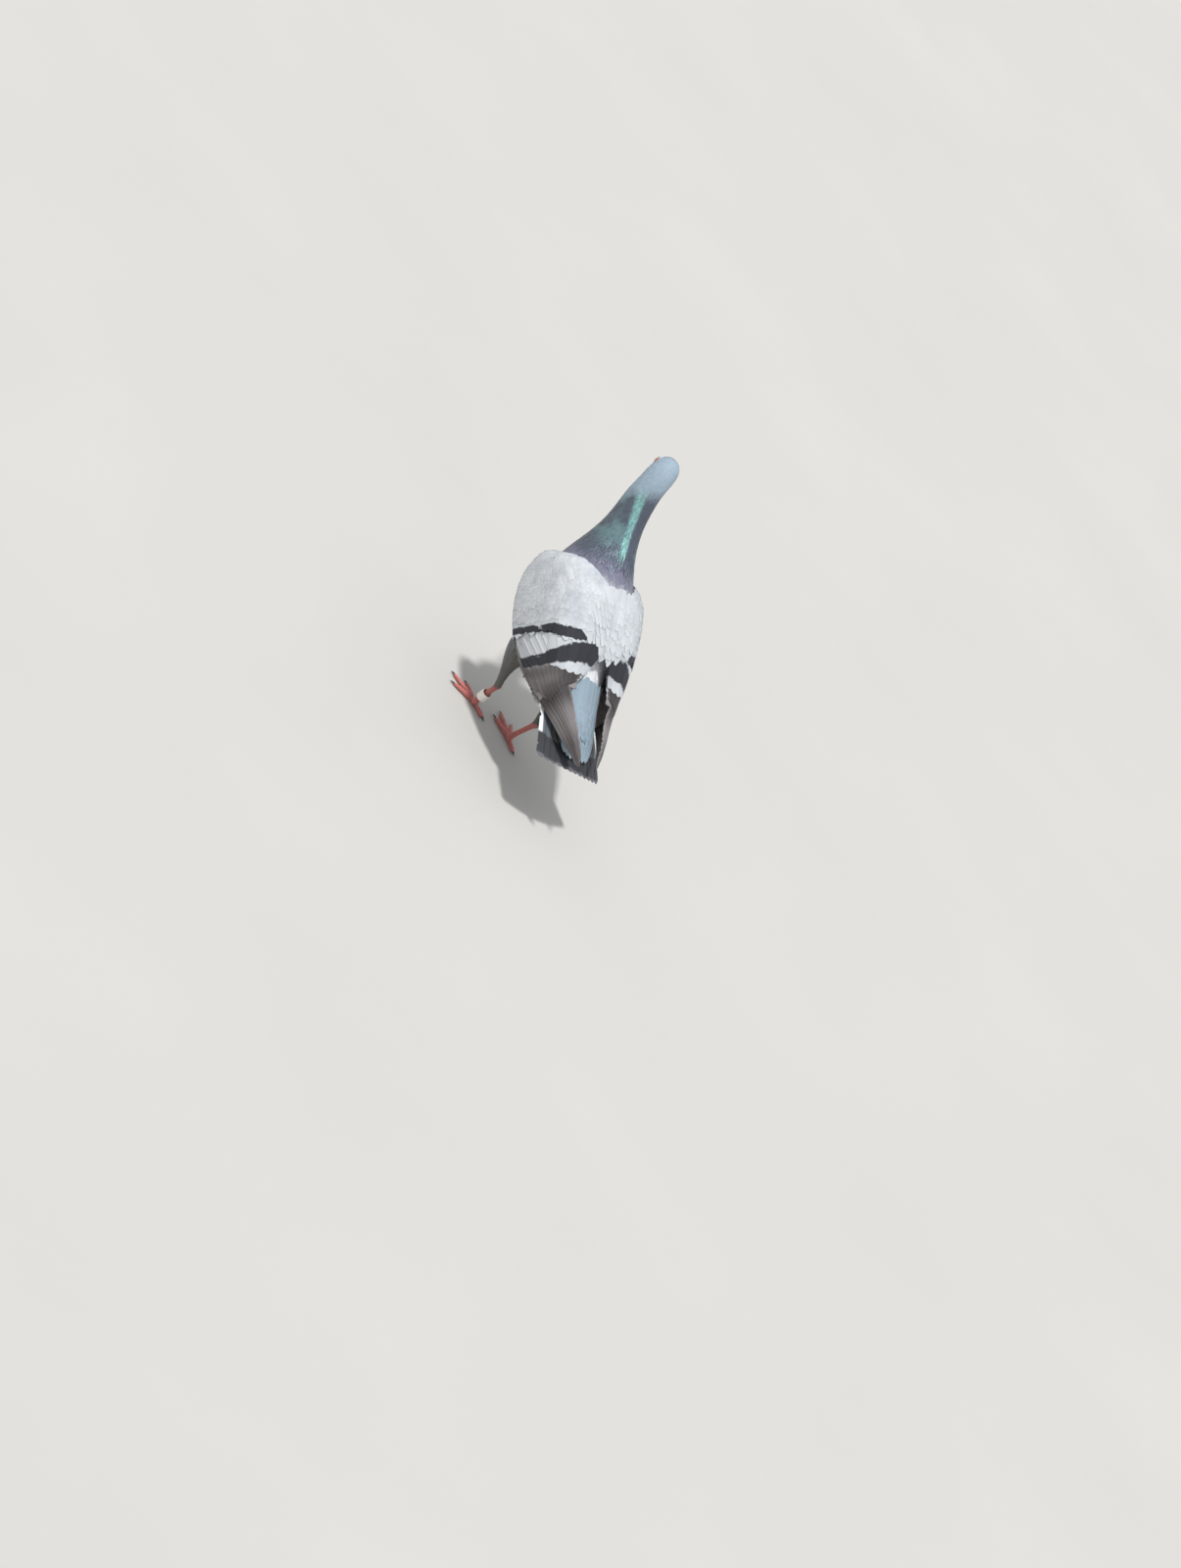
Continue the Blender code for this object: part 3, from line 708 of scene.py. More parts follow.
class Sheet:
    """A smooth patch of surface, read at shares a of its length and b of its breadth."""

    def __init__(self, grid, side=1):
        self.grid = grid
        self.along = np.gradient(grid, 1 / (len(grid) - 1), axis=0)
        self.across = np.gradient(grid, 1 / (grid.shape[1] - 1), axis=1)
        self.normals = unit(np.cross(self.across, self.along)) * side

    def mirrored(self):
        return Sheet(self.grid * np.array((-1.0, 1.0, 1.0)), -1)

    def read(self, table, a, b):
        a, b = np.broadcast_arrays(np.asarray(a, float), np.asarray(b, float))
        rows, columns = table.shape[:2]
        u, v = np.clip(a, 0, 1) * (rows - 1), np.clip(b, 0, 1) * (columns - 1)
        i, j = np.minimum(u.astype(int), rows - 2), np.minimum(v.astype(int), columns - 2)
        s, t = (u - i)[..., None], (v - j)[..., None]
        near = table[i, j] * (1 - t) + table[i, j + 1] * t
        far = table[i + 1, j] * (1 - t) + table[i + 1, j + 1] * t
        return near * (1 - s) + far * s

    def point(self, a, b):
        """The point, carried straight on past the sheet's edges."""
        over, aside = (np.asarray(c, float) - np.clip(c, 0, 1) for c in np.broadcast_arrays(a, b))
        along, across = self.read(self.along, a, b), self.read(self.across, a, b)
        return self.read(self.grid, a, b) + (along * over[..., None] + across * aside[..., None])

    def normal(self, a, b):
        return unit(self.read(self.normals, a, b))

    def length_along(self, a, b):
        return np.linalg.norm(self.read(self.along, a, b), axis=-1)

    def length_across(self, a, b):
        return np.linalg.norm(self.read(self.across, a, b), axis=-1)


def eased(grid, rounds):
    """The grid after averaging each place with its neighbours, both ways."""
    for _ in range(rounds):
        for axis in (0, 1):
            moved = np.moveaxis(grid, axis, 0)
            moved[1:-1] = moved[1:-1] * 0.5 + (moved[:-2] + moved[2:]) * 0.25
    return grid


def slice_points(node_points, triangles, y):
    """Where the edges of a mesh cross the upright plane at y."""
    found = []
    for first, second in ((0, 1), (1, 2), (2, 0)):
        a, b = node_points[triangles[:, first]], node_points[triangles[:, second]]
        crossing = (a[:, 1] - y) * (b[:, 1] - y) < 0
        a, b = a[crossing], b[crossing]
        share = (y - a[:, 1]) / (b[:, 1] - a[:, 1])
        found.append(a + (b - a) * share[:, None])
    return np.vstack(found)


def wing_sheet():
    """The outer face of the folded left wing, from its wrist to its tip and from upper to lower edge."""
    points, triangles = gathered(("wing_left", "primaries_left"))
    rays = search_tree(points, triangles)
    points, triangles = np.array(points), np.array(triangles)
    first, last = points[:, 1].min() + 1.5 * MM, points[:, 1].max() - 1.0 * MM
    rows = []
    for y in np.linspace(first, last, WING_ROWS):
        cut = slice_points(points, triangles, y)
        if not len(cut):
            rows.append(rows[-1] + np.array((0, y - rows[-1][0][1], 0)))
            continue
        middle = Vector((cut[cut[:, 2].argmax(), 0], y, cut[cut[:, 0].argmax(), 2]))
        line = []
        for angle in np.radians(np.linspace(2, 150, 90)):
            way = Vector((math.sin(angle), 0, math.cos(angle)))
            hit = rays.ray_cast(middle + way * 0.2, -way)[0]
            if hit is not None and (hit - middle).dot(way) > 0:
                line.append(np.array(hit))
        line = np.array(line)
        line = line[: line[:, 2].argmin() + 1]
        rows.append(resampled(line, lambda length: np.linspace(0, length, WING_COLUMNS))[1])
    return Sheet(eased(np.array(rows), 3))


def tail_sheet():
    """The upper face of the tail as a smooth arched surface, from under the rump to the tips."""
    low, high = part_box("tail")
    rays = tree_of("tail")
    seen = []
    for y in np.linspace(low.y + 4 * MM, high.y - 10 * MM, 12):
        for x in np.linspace(low.x * 0.6, high.x * 0.6, 13):
            hit = rays.ray_cast(Vector((x, y, 0.3)), Vector((0, 0, -1)))[0]
            if hit is not None:
                seen.append(hit)
    seen = np.array(seen)
    x, y, z = seen.T

    def terms(x, y):
        return np.stack([np.ones_like(x), y, y * y, x * x, x * x * y], -1)

    weights = np.linalg.lstsq(terms(x, y), z, rcond=None)[0]
    ys = np.linspace(TAIL_ROOT * MM, high.y, 40)
    xs = np.linspace(-high.x * 1.02, high.x * 1.02, 41)
    grid_y, grid_x = np.meshgrid(ys, xs, indexing="ij")
    return Sheet(np.stack([grid_x, grid_y, terms(grid_x, grid_y) @ weights], -1))


# ---------------------------------------------------------------- feathers laid by Geometry Nodes


def vane(name, columns, rows, base, end, sag, tooth=0.0):
    """A closed feather of length 1 and width 1, with an arched upper face over a flat lower one.

    Base and end are half widths at its root and tip, sag bends its rows to a round tip, and tooth frays it.
    """
    points = []
    for t in np.linspace(0, 1, rows):
        half = base + (0.5 - base) * min(1, t / 0.55) ** 0.8 - (0.5 - end) * max(0, (t - 0.55) / 0.45) ** 2
        for k, s in enumerate(np.linspace(-1, 1, columns)):
            sway = tooth if k % 2 else -tooth
            fray = sway * (t > 0.99) + sway * 0.4 * (t > 0.7)
            y = t * (1 - sag * s * s * t) + fray * (1 - 0.5 * abs(s))
            points.append((half * s, y, (1 - s * s) * (1 - 0.6 * t)))
    faces = []
    for i in range(rows - 1):
        for k in range(columns - 1):
            a = i * columns + k
            faces.append((a, a + 1, a + columns + 1, a + columns))
        a = i * columns
        faces.append((a, a + columns, a + 2 * columns - 1, a + columns - 1))
    faces.append(tuple(range(columns))[::-1])
    faces.append(tuple(range((rows - 1) * columns, rows * columns)))
    mesh = mesh_of(name, points, faces, sharp=50)
    store(mesh, "local", np.array(points))
    feather = object_of(name, mesh)
    feather.hide_render = feather.hide_viewport = True
    return feather


LAY_INPUTS = (
    ("Geometry", "NodeSocketGeometry"),
    ("Feather", "NodeSocketObject"),
    ("Form", "NodeSocketObject"),
    ("Lift", "NodeSocketFloat"),
    ("Ruffle", "NodeSocketFloat"),
    ("Follow", "NodeSocketFloat"),
    ("Patch", "NodeSocketFloat"),
    ("Seed", "NodeSocketInt"),
    ("Material", "NodeSocketMaterial"),
)


@cache
def lay_tree():
    """The tree that lays a feather on every root, bends it to the body and stores its places."""
    group = bpy.data.node_groups.new("Lay Feathers", "GeometryNodeTree")
    for name, kind in LAY_INPUTS:
        group.interface.new_socket(name, in_out="INPUT", socket_type=kind)
    group.interface.new_socket("Geometry", in_out="OUTPUT", socket_type="NodeSocketGeometry")
    g = Tree(group)
    given = {socket.name: Value(g, socket) for socket in g.make("NodeGroupInput").socket.node.outputs}

    def stored(name, kind="FLOAT_VECTOR"):
        return g.make("GeometryNodeInputNamedAttribute", {"data_type": kind}, {"Name": name})

    def kept(geometry, name, value, kind="FLOAT_VECTOR", domain="POINT"):
        settings, values = {"data_type": kind, "domain": domain}, {0: geometry, "Name": name, "Value": value}
        return g.make("GeometryNodeStoreNamedAttribute", settings, values)

    def mesh_input(name, space="ORIGINAL"):
        settings, values = {"transform_space": space}, {"Object": given[name]}
        return g.make("GeometryNodeObjectInfo", settings, values, "Geometry")

    up, span = stored("up"), stored("span")
    limits = {2: -given["Ruffle"], 3: given["Ruffle"], "Seed": given["Seed"]}
    turn = g.make("FunctionNodeRandomValue", {"data_type": "FLOAT"}, limits, 1)
    axes = {"primary_axis": "Z", "secondary_axis": "Y"}
    facing = g.make("FunctionNodeAxesToRotation", axes, {0: up, 1: stored("lie")})
    spin = g.make("ShaderNodeCombineXYZ", None, {2: turn})
    facing = g.make("FunctionNodeRotateRotation", {"rotation_space": "LOCAL"}, {0: facing, 1: spin})
    feather = mesh_input("Feather")
    placing = {"Points": given["Geometry"], "Instance": feather, "Rotation": facing, "Scale": span}
    laid = g.make("GeometryNodeInstanceOnPoints", None, placing)
    laid = g.make("GeometryNodeRealizeInstances", None, {0: laid})

    local, here, form = stored("local"), g.make("GeometryNodeInputPosition"), mesh_input("Form", "RELATIVE")
    lx, ly, lz = g.split(local)
    sx, sy, sz = g.split(span)
    thick = lz * sz
    rise = stored("base", "FLOAT") + ly * sy * given["Lift"] + thick
    flat = g.vector("SUBTRACT", here, g.scaled(up, thick))
    near = g.make("GeometryNodeProximity", {"target_element": "FACES"}, {0: form, "Sample Position": flat})
    sampling = {"Mesh": form, "Value": g.make("GeometryNodeInputNormal"), "Sample Position": flat}
    outward = g.make("GeometryNodeSampleNearestSurface", {"data_type": "FLOAT_VECTOR"}, sampling)
    hugging = g.vector("ADD", near, g.scaled(outward, rise))
    free = g.vector("ADD", flat, g.scaled(up, rise))
    bent = g.blend(stored("hug", "FLOAT"), free, hugging)
    laid = g.make("GeometryNodeSetPosition", None, {0: laid, "Position": bent})

    laid = kept(laid, "vane", g.make("ShaderNodeCombineXYZ", None, {0: lx * sx, 1: ly * sy, 2: sy}))
    place = g.blend(given["Follow"], stored("root"), here)
    laid = kept(laid, "seat", g.vector("ADD", place, stored("shift")))
    laid = kept(laid, "edge", abs(lx) * 2.0, "FLOAT")
    spot = g.vector("ADD", stored("map"), g.scaled(local, given["Patch"]))
    laid = kept(laid, "OFBake", spot, "FLOAT2", "CORNER")
    laid = g.make("GeometryNodeSetMaterial", None, {0: laid, "Material": given["Material"]})
    group.links.new(laid.socket, group.nodes.new("NodeGroupOutput").inputs[0])
    return group


def lay(name, feather, form, roots, material, slot, follow, lift, ruffle=None):
    """Lays one feather on every root, as one plain mesh. Roots is a table of arrays with a row for each.

    Lift is how fast a feather rises along its length, and follow how far its markings spread over it from
    the one place of its root.
    """
    mesh = bpy.data.meshes.new(name)
    mesh.from_pydata([tuple(co) for co in roots["root"]], [], [])
    for key, values in roots.items():
        store(mesh, key, values)
    work = object_of(name + "_roots", mesh)
    step = work.modifiers.new("Lay Feathers", "NODES")
    step.node_group = lay_tree()
    given = {
        "Feather": feather,
        "Form": form,
        "Lift": lift * sizes().lift,
        "Ruffle": sizes().ruffle if ruffle is None else ruffle,
        "Follow": follow,
        "Patch": sizes().patch,
        "Seed": sizes().seed,
        "Material": material,
    }
    for item in step.node_group.interface.items_tree:
        if item.in_out == "INPUT" and item.name in given:
            step[item.identifier] = given[item.name]
    piece = evaluated(work, name)
    for key in ("local", *(key for key in roots if key != "tone")):
        attribute = piece.data.attributes.get(key)
        if attribute:
            piece.data.attributes.remove(attribute)
    return finish(piece, slot)


def root_table(points, normals, lie, widths, lengths, thickness, spots, rng, depth, hug, jitter):
    """The table of roots that lay() takes. Spots are places on the bake map, from 0 to 1.

    Depth is how far a root lies under the form, and hug how closely its feather is bent round it.
    """
    count = len(points)
    lie = unit(lie - normals * (lie * normals).sum(1, keepdims=True))
    shift = lie * rng.normal(0.0, 1.0, (count, 1)) * jitter
    spread = np.clip(rng.normal(1.0, 0.07, count), 0.8, 1.2)
    return {
        "root": points,
        "up": normals,
        "lie": lie,
        "span": np.stack([widths * spread, lengths * spread, np.full(count, thickness)], 1),
        "map": np.hstack([0.01 + 0.98 * np.clip(spots, 0, 1), np.zeros((count, 1))]),
        "shift": shift,
        "tone": rng.random(count),
        "base": -np.broadcast_to(depth, count),
        "hug": np.broadcast_to(hug, count),
    }


class Roots:
    """Gathers the roots of single feathers: place, normal, lie, and width and length in millimetres."""

    def __init__(self):
        self.rows = []

    def add(self, place, normal, lie, width, length):
        self.rows.append((*place, *normal, *lie, width, length))

    def table(self, spots, rng, depth, thickness=0.2, jitter=0.0):
        rows = np.array(self.rows)
        return root_table(
            rows[:, :3], unit(rows[:, 3:6]), rows[:, 6:9], rows[:, 9] * MM, rows[:, 10] * MM, thickness * MM,
            spots, rng, depth, 1.0, jitter * MM,
        )


def refit(spots):
    """The spots spread over the whole map."""
    low, high = spots.min(0), spots.max(0)
    return (spots - low) / np.maximum(high - low, 1e-6)


def kept_apart(points, gaps, rng):
    """Which of the points stay when no two may be closer than the gap of the first one met."""
    order = rng.permutation(len(points))
    rank = np.empty(len(points), int)
    rank[order] = np.arange(len(points))
    finder = KDTree(len(points))
    for i, point in enumerate(points):
        finder.insert(point, i)
    finder.balance()
    alive = np.ones(len(points), bool)
    for i in order:
        if alive[i]:
            for _, j, _ in finder.find_range(points[i], gaps[i]):
                if rank[j] > rank[i]:
                    alive[j] = False
    return np.flatnonzero(alive)


# ---------------------------------------------------------------- plumes drawn on a sheet

# Places of a vane's points across it, from -1 to 1, close together at the shaft
PLUME_COLUMNS = np.array((-1, -0.8, -0.55, -0.28, -0.07, 0, 0.07, 0.28, 0.55, 0.8, 1.0))
# How wide a plume is at its root, how much of its length it takes to grow full, and how deep a split is cut
ROOT_WIDTH, GROWN_AT, SPLIT_WIDTH = 0.42, 0.35, 0.78
# How far, in millimetres, the markings of one plume are shifted along it
SEAT_JITTER = 0.6


class PlumeSet:
    """Gathers large feathers into one mesh, each with its own cell of the bake map."""

    def __init__(self, name, cells, rng):
        self.name, self.cells, self.rng = name, cells, rng
        self.points, self.faces, self.count = [], [], 0
        self.marks = {"vane": [], "edge": [], "seat": [], "tone": []}
        self.uvs = []

    def add(self, sheet, start, end, rise, half_inner, half_outer, round_at, tilt=0.3, rows=34,
            thickness=0.28, blunt=0.3, bow=0.0, shaft=0.5, splits=3, camber=0.5, limits=(0.01, 0.99)):
        """A feather from start to end, as (a, b) places on the sheet. Widths are in millimetres.

        Half widths are those of the web toward the sheet's first edge and of the other one. Rise is the
        height of its root over the sheet, and tilt how much more it has at its end. From the share round_at
        of its length it narrows to the share blunt of its width.
        """
        columns = PLUME_COLUMNS
        t = np.linspace(0, 1, rows) ** 0.9
        a = start[0] + (end[0] - start[0]) * t
        b = start[1] + (end[1] - start[1]) * t + bow * np.sin(math.pi * t)
        grow = ROOT_WIDTH + (1 - ROOT_WIDTH) * np.minimum(1, t / GROWN_AT) ** 0.7
        close = np.sqrt(1 - (1 - blunt**2) * (np.clip(t - round_at, 0, 1) / (1 - round_at)) ** 2)
        profile = grow * close
        notch = np.ones((rows, 2))
        for _ in range(splits):
            at, side = self.rng.integers(rows // 3, rows - 2), self.rng.integers(0, 2)
            notch[at, side] = SPLIT_WIDTH
        scale = sheet.length_across(a, b) / MM
        left = half_inner * profile * notch[:, 0]
        right = half_outer * profile * notch[:, 1]
        offset = np.where(columns < 0, left[:, None], right[:, None]) * columns
        place_b = np.clip(b[:, None] + offset / scale[:, None], *limits)
        swept = np.abs(columns) ** 2 * 0.35 * offset.max() * MM
        place_a = a[:, None] - swept / sheet.length_along(a, b)[:, None] * t[:, None]
        surface, normal = sheet.point(place_a, place_b), sheet.normal(place_a, place_b)
        height = rise + tilt * t[:, None] + camber * (1 - columns**2) * profile[:, None]
        quill = np.where(np.abs(columns) < 0.02, shaft, np.where(np.abs(columns) < 0.1, 0.12 * shaft, 0.0))
        top = surface + normal * ((height + quill * (1 - 0.75 * t[:, None])) * MM)[..., None]
        low = surface + normal * ((height - thickness * (1 - 0.55 * t[:, None])) * MM)[..., None]
        outward = sheet.normal(a[:1], b[:1])[0]
        self.append(top, low, columns, t, offset, outward)

    def append(self, top, low, columns, t, offset, outward):
        """Adds the closed vane between two grids of points that share their side edges."""
        rows, count = top.shape[:2]
        base = len(self.points)
        inner = count - 2
        self.points += list(top.reshape(-1, 3)) + list(low[:, 1:-1].reshape(-1, 3))
        upper = base + np.arange(rows * count).reshape(rows, count)
        lower = np.empty((rows, count), int)
        lower[:, 0], lower[:, -1] = upper[:, 0], upper[:, -1]
        lower[:, 1:-1] = base + rows * count + np.arange(rows * inner).reshape(rows, inner)
        length = float(np.linalg.norm(top[-1, count // 2] - top[0, count // 2]))
        cell_x, cell_y = self.count % self.cells, self.count // self.cells
        size = 1.0 / self.cells

        def spot(i, k, under):
            u = (columns[k] * 0.46 + 0.5) * 0.46 + (0.52 if under else 0.02)
            return ((cell_x + u) * size, (cell_y + 0.03 + 0.94 * t[i]) * size)

        flip = np.dot(np.cross(top[1, 5] - top[0, 5], top[0, 6] - top[0, 4]), outward) > 0
        for i in range(rows - 1):
            for k in range(count - 1):
                for table, under in ((upper, False), (lower, True)):
                    corners = [(i, k), (i, k + 1), (i + 1, k + 1), (i + 1, k)]
                    if under != flip:
                        corners = corners[::-1]
                    self.faces.append([int(table[c]) for c in corners])
                    self.uvs += [spot(*c, under) for c in corners]
        for i in (0, rows - 1):
            rim = [(int(upper[i, k]), (i, k, False)) for k in range(count)]
            rim += [(int(lower[i, k]), (i, k, True)) for k in range(count - 2, 0, -1)]
            if (i == 0) != flip:
                rim = rim[::-1]
            self.faces.append([vertex for vertex, _ in rim])
            self.uvs += [spot(*corner) for _, corner in rim]
        vanes = np.zeros((rows, count, 3))
        vanes[..., 0] = offset * MM
        vanes[..., 1] = t[:, None] * length
        vanes[..., 2] = length
        flow = unit(top[-1, count // 2] - top[0, count // 2]) * self.rng.normal(0, SEAT_JITTER) * MM
        for grid in (slice(None), slice(1, -1)):
            self.marks["vane"] += list(vanes[:, grid].reshape(-1, 3))
            self.marks["edge"] += list(np.broadcast_to(np.abs(columns[grid]), top[:, grid].shape[:2]).ravel())
        seats = np.vstack([top.reshape(-1, 3), low[:, 1:-1].reshape(-1, 3)]) + flow
        self.marks["seat"] += list(seats)
        self.marks["tone"] += [self.rng.random()] * len(seats)
        self.count += 1

    def build(self, material, slot, *nodes):
        mesh = mesh_of(self.name, self.points, self.faces, sharp=55)
        for key, values in self.marks.items():
            store(mesh, key, np.array(values))
        layer = mesh.uv_layers.new(name="OFBake")
        layer.data.foreach_set("uv", np.array(self.uvs, np.float32).ravel())
        return finish(object_of(self.name, mesh, material), slot, *nodes)


# ---------------------------------------------------------------- shared state of one run

made = {}


@cache
def spine():
    return Spine()


@cache
def wings():
    """The sheets of both wings, by side."""
    sheet = wing_sheet()
    return {1: sheet, -1: sheet.mirrored()}


@cache
def wing_trees():
    return {side: search_tree(*grid_faces(sheet.grid)) for side, sheet in wings().items()}


def side_of(x):
    return 1 if x > 0 else -1


def on_front(place, normal):
    """Which places of a wing lie on its front, ahead of its outer face."""
    return (place[:, 1] < -10 * MM) & (normal[:, 1] < -0.15)


def coat_depth(along):
    return np.interp(along, *np.array(COAT_DEPTHS).T) * MM


def grid_faces(grid):
    """Points and faces of a grid."""
    rows, columns = grid.shape[:2]
    corners = (0, 1, columns + 1, columns)
    starts = [i * columns + k for i in range(rows - 1) for k in range(columns - 1)]
    return grid.reshape(-1, 3), [[start + corner for corner in corners] for start in starts]


def leg_direction(side_name):
    """The way down a feathered leg, from its widest part to the ankle."""
    points = node_points(f"thigh_{side_name}")
    low, high = points[points[:, 2] < 0.045].mean(0), points[points[:, 2] > 0.075].mean(0)
    return unit(low - high)


def place_past(sheet, past, b):
    """Share a of the wing's length where a flow line at b passes the given distance from the front bar."""
    table = past_front_bar(sheet.grid[..., 1] / MM, sheet.grid[..., 2] / MM)
    at = b * (table.shape[1] - 1)
    j = min(int(at), table.shape[1] - 2)
    column = np.maximum.accumulate(table[:, j] * (1 - at + j) + table[:, j + 1] * (at - j))
    return float(np.interp(past, column, np.linspace(0, 1, len(column)), left=-1.0, right=2.0))


# ---------------------------------------------------------------- operators


class PieceOperator(bpy.types.Operator):
    """Base of the operators that make pieces."""

    bl_options = {"REGISTER", "UNDO"}


class PIGEON_OT_skin(PieceOperator):
    """One skin for head, neck, trunk, wings and thighs, as deep under the coat as the coat is thick"""

    bl_idname = "pigeon.skin"
    bl_label = "Skin"

    def execute(self, context):
        form = remeshed(copy_of_nodes("form", FLESH), sizes().skin_voxel, 6, "form")
        form.data = largest_part(form.data)
        form.hide_render = True
        points, normals = coordinates(form.data), vectors_of(form.data.vertex_normals, "vector")
        along = spine().locate(points)[0]
        of_wing, of_thigh, thick = self.survey(form.data, points, normals)
        outer = np.zeros(len(points))
        front = on_front(points, normals)
        for i in np.flatnonzero(of_wing):
            near = wing_trees()[side_of(points[i, 0])].find_nearest(Vector(points[i]))[3]
            outer[i] = front[i] or (near < OUTER_FACE * MM and normals[i, 2] > -0.35)
        _, y, z = points.T / MM
        low, behind = np.clip((z - 33) / 30, 0.25, 1), np.clip(y / 40, 0, 1)
        depth = np.where(of_thigh > 0, 1.5 * MM * low, coat_depth(along))
        depth = np.where(of_wing > 0, (2.0 + 2.2 * behind) * MM, depth)
        depth = np.minimum(depth, thick * 0.38)
        made.update(form=form, points=points, normals=normals, along=along)
        made.update(of_wing=of_wing, of_thigh=of_thigh)
        mesh = form.data.copy()
        mesh.name = "skin"
        mesh.vertices.foreach_set("co", (points - normals * depth[:, None]).ravel().astype(np.float32))
        mesh.update()
        store(mesh, "seat", points)
        store(mesh, "wing", outer)
        store(mesh, "tone", np.full(len(points), 0.3))
        mesh.shade_smooth()
        skin = object_of("skin", mesh, plumage("Plumage Skin", body_colour, shield_colour))
        finish(skin, "body_plumage", *FLESH)
        return {"FINISHED"}

    def survey(self, mesh, points, normals):
        """For each point, whether it is nearest a wing or a thigh, and how thick the flesh under it is."""
        kinds = (("wing_left", "wing_right"), ("trunk", "neck", "head"), ("thigh_left", "thigh_right"))
        trees = [tree_of(*nodes) for nodes in kinds]
        inside = search_tree(points, [list(p.vertices) for p in mesh.polygons])
        of_wing, of_thigh = np.zeros(len(points)), np.zeros(len(points))
        thick = np.full(len(points), 0.05)
        for i, (point, normal) in enumerate(zip(points, normals)):
            point, normal = Vector(point), Vector(normal)
            to_wing, to_trunk, to_thigh = (tree.find_nearest(point)[3] for tree in trees)
            of_wing[i] = to_wing < min(to_trunk, to_thigh)
            of_thigh[i] = to_thigh < min(to_trunk, to_wing)
            hit = inside.ray_cast(point - normal * 0.3 * MM, -normal, 0.05)
            if hit[0] is not None:
                thick[i] = hit[3]
        return of_wing, of_thigh, thick


# Body feathers along the spine: piece, start and end, slot, width and length as shares of their distance
TRACTS = (
    ("coat_head", -50.0, 44.0, "head_plumage", 1.35, 3.6),
    ("coat_neck", 44.0, 112.0, "neck_plumage", 1.6, 3.8),
    ("coat_breast", 112.0, 190.0, "body_plumage", 1.8, 3.8),
    ("coat_belly", 190.0, 400.0, "body_plumage", 1.8, 4.0),
)
SMALL_FEATHERS_END = 100.0
CANDIDATES = 240000
# Bare skin round the eye and beside the bill, for places above HEAD_FROM_Z
BARE_ROUND_EYE, BARE_AT_BILL, HEAD_FROM_Z = 4.7, 0.7, 200.0
# The coat ends at this y on the body and under the wing, and at this z over the shank.
COAT_END_Y, LINING_END_Y, COAT_END_Z = 82.0, 52.0, 43.0
# Past these y, feathers stand free of the form's curve, as do those over the ankle at this z.
FREE_BODY_Y, FREE_LINING_Y, ANKLE_Z = 78.0, 45.0, 46.0
# Flank plumes grow between these y, under this z and this far from the middle.
FLANK_FROM_Y, FLANK_TO_Y, FLANK_TOP_Z, FLANK_X = 5.0, 68.0, 118.0, 10.0
# Wing places this near the sheet of its outer face are left to the coverts; the wing's front is left less.
OUTER_FACE, OUTER_FACE_IN_FRONT = 2.4, 0.6


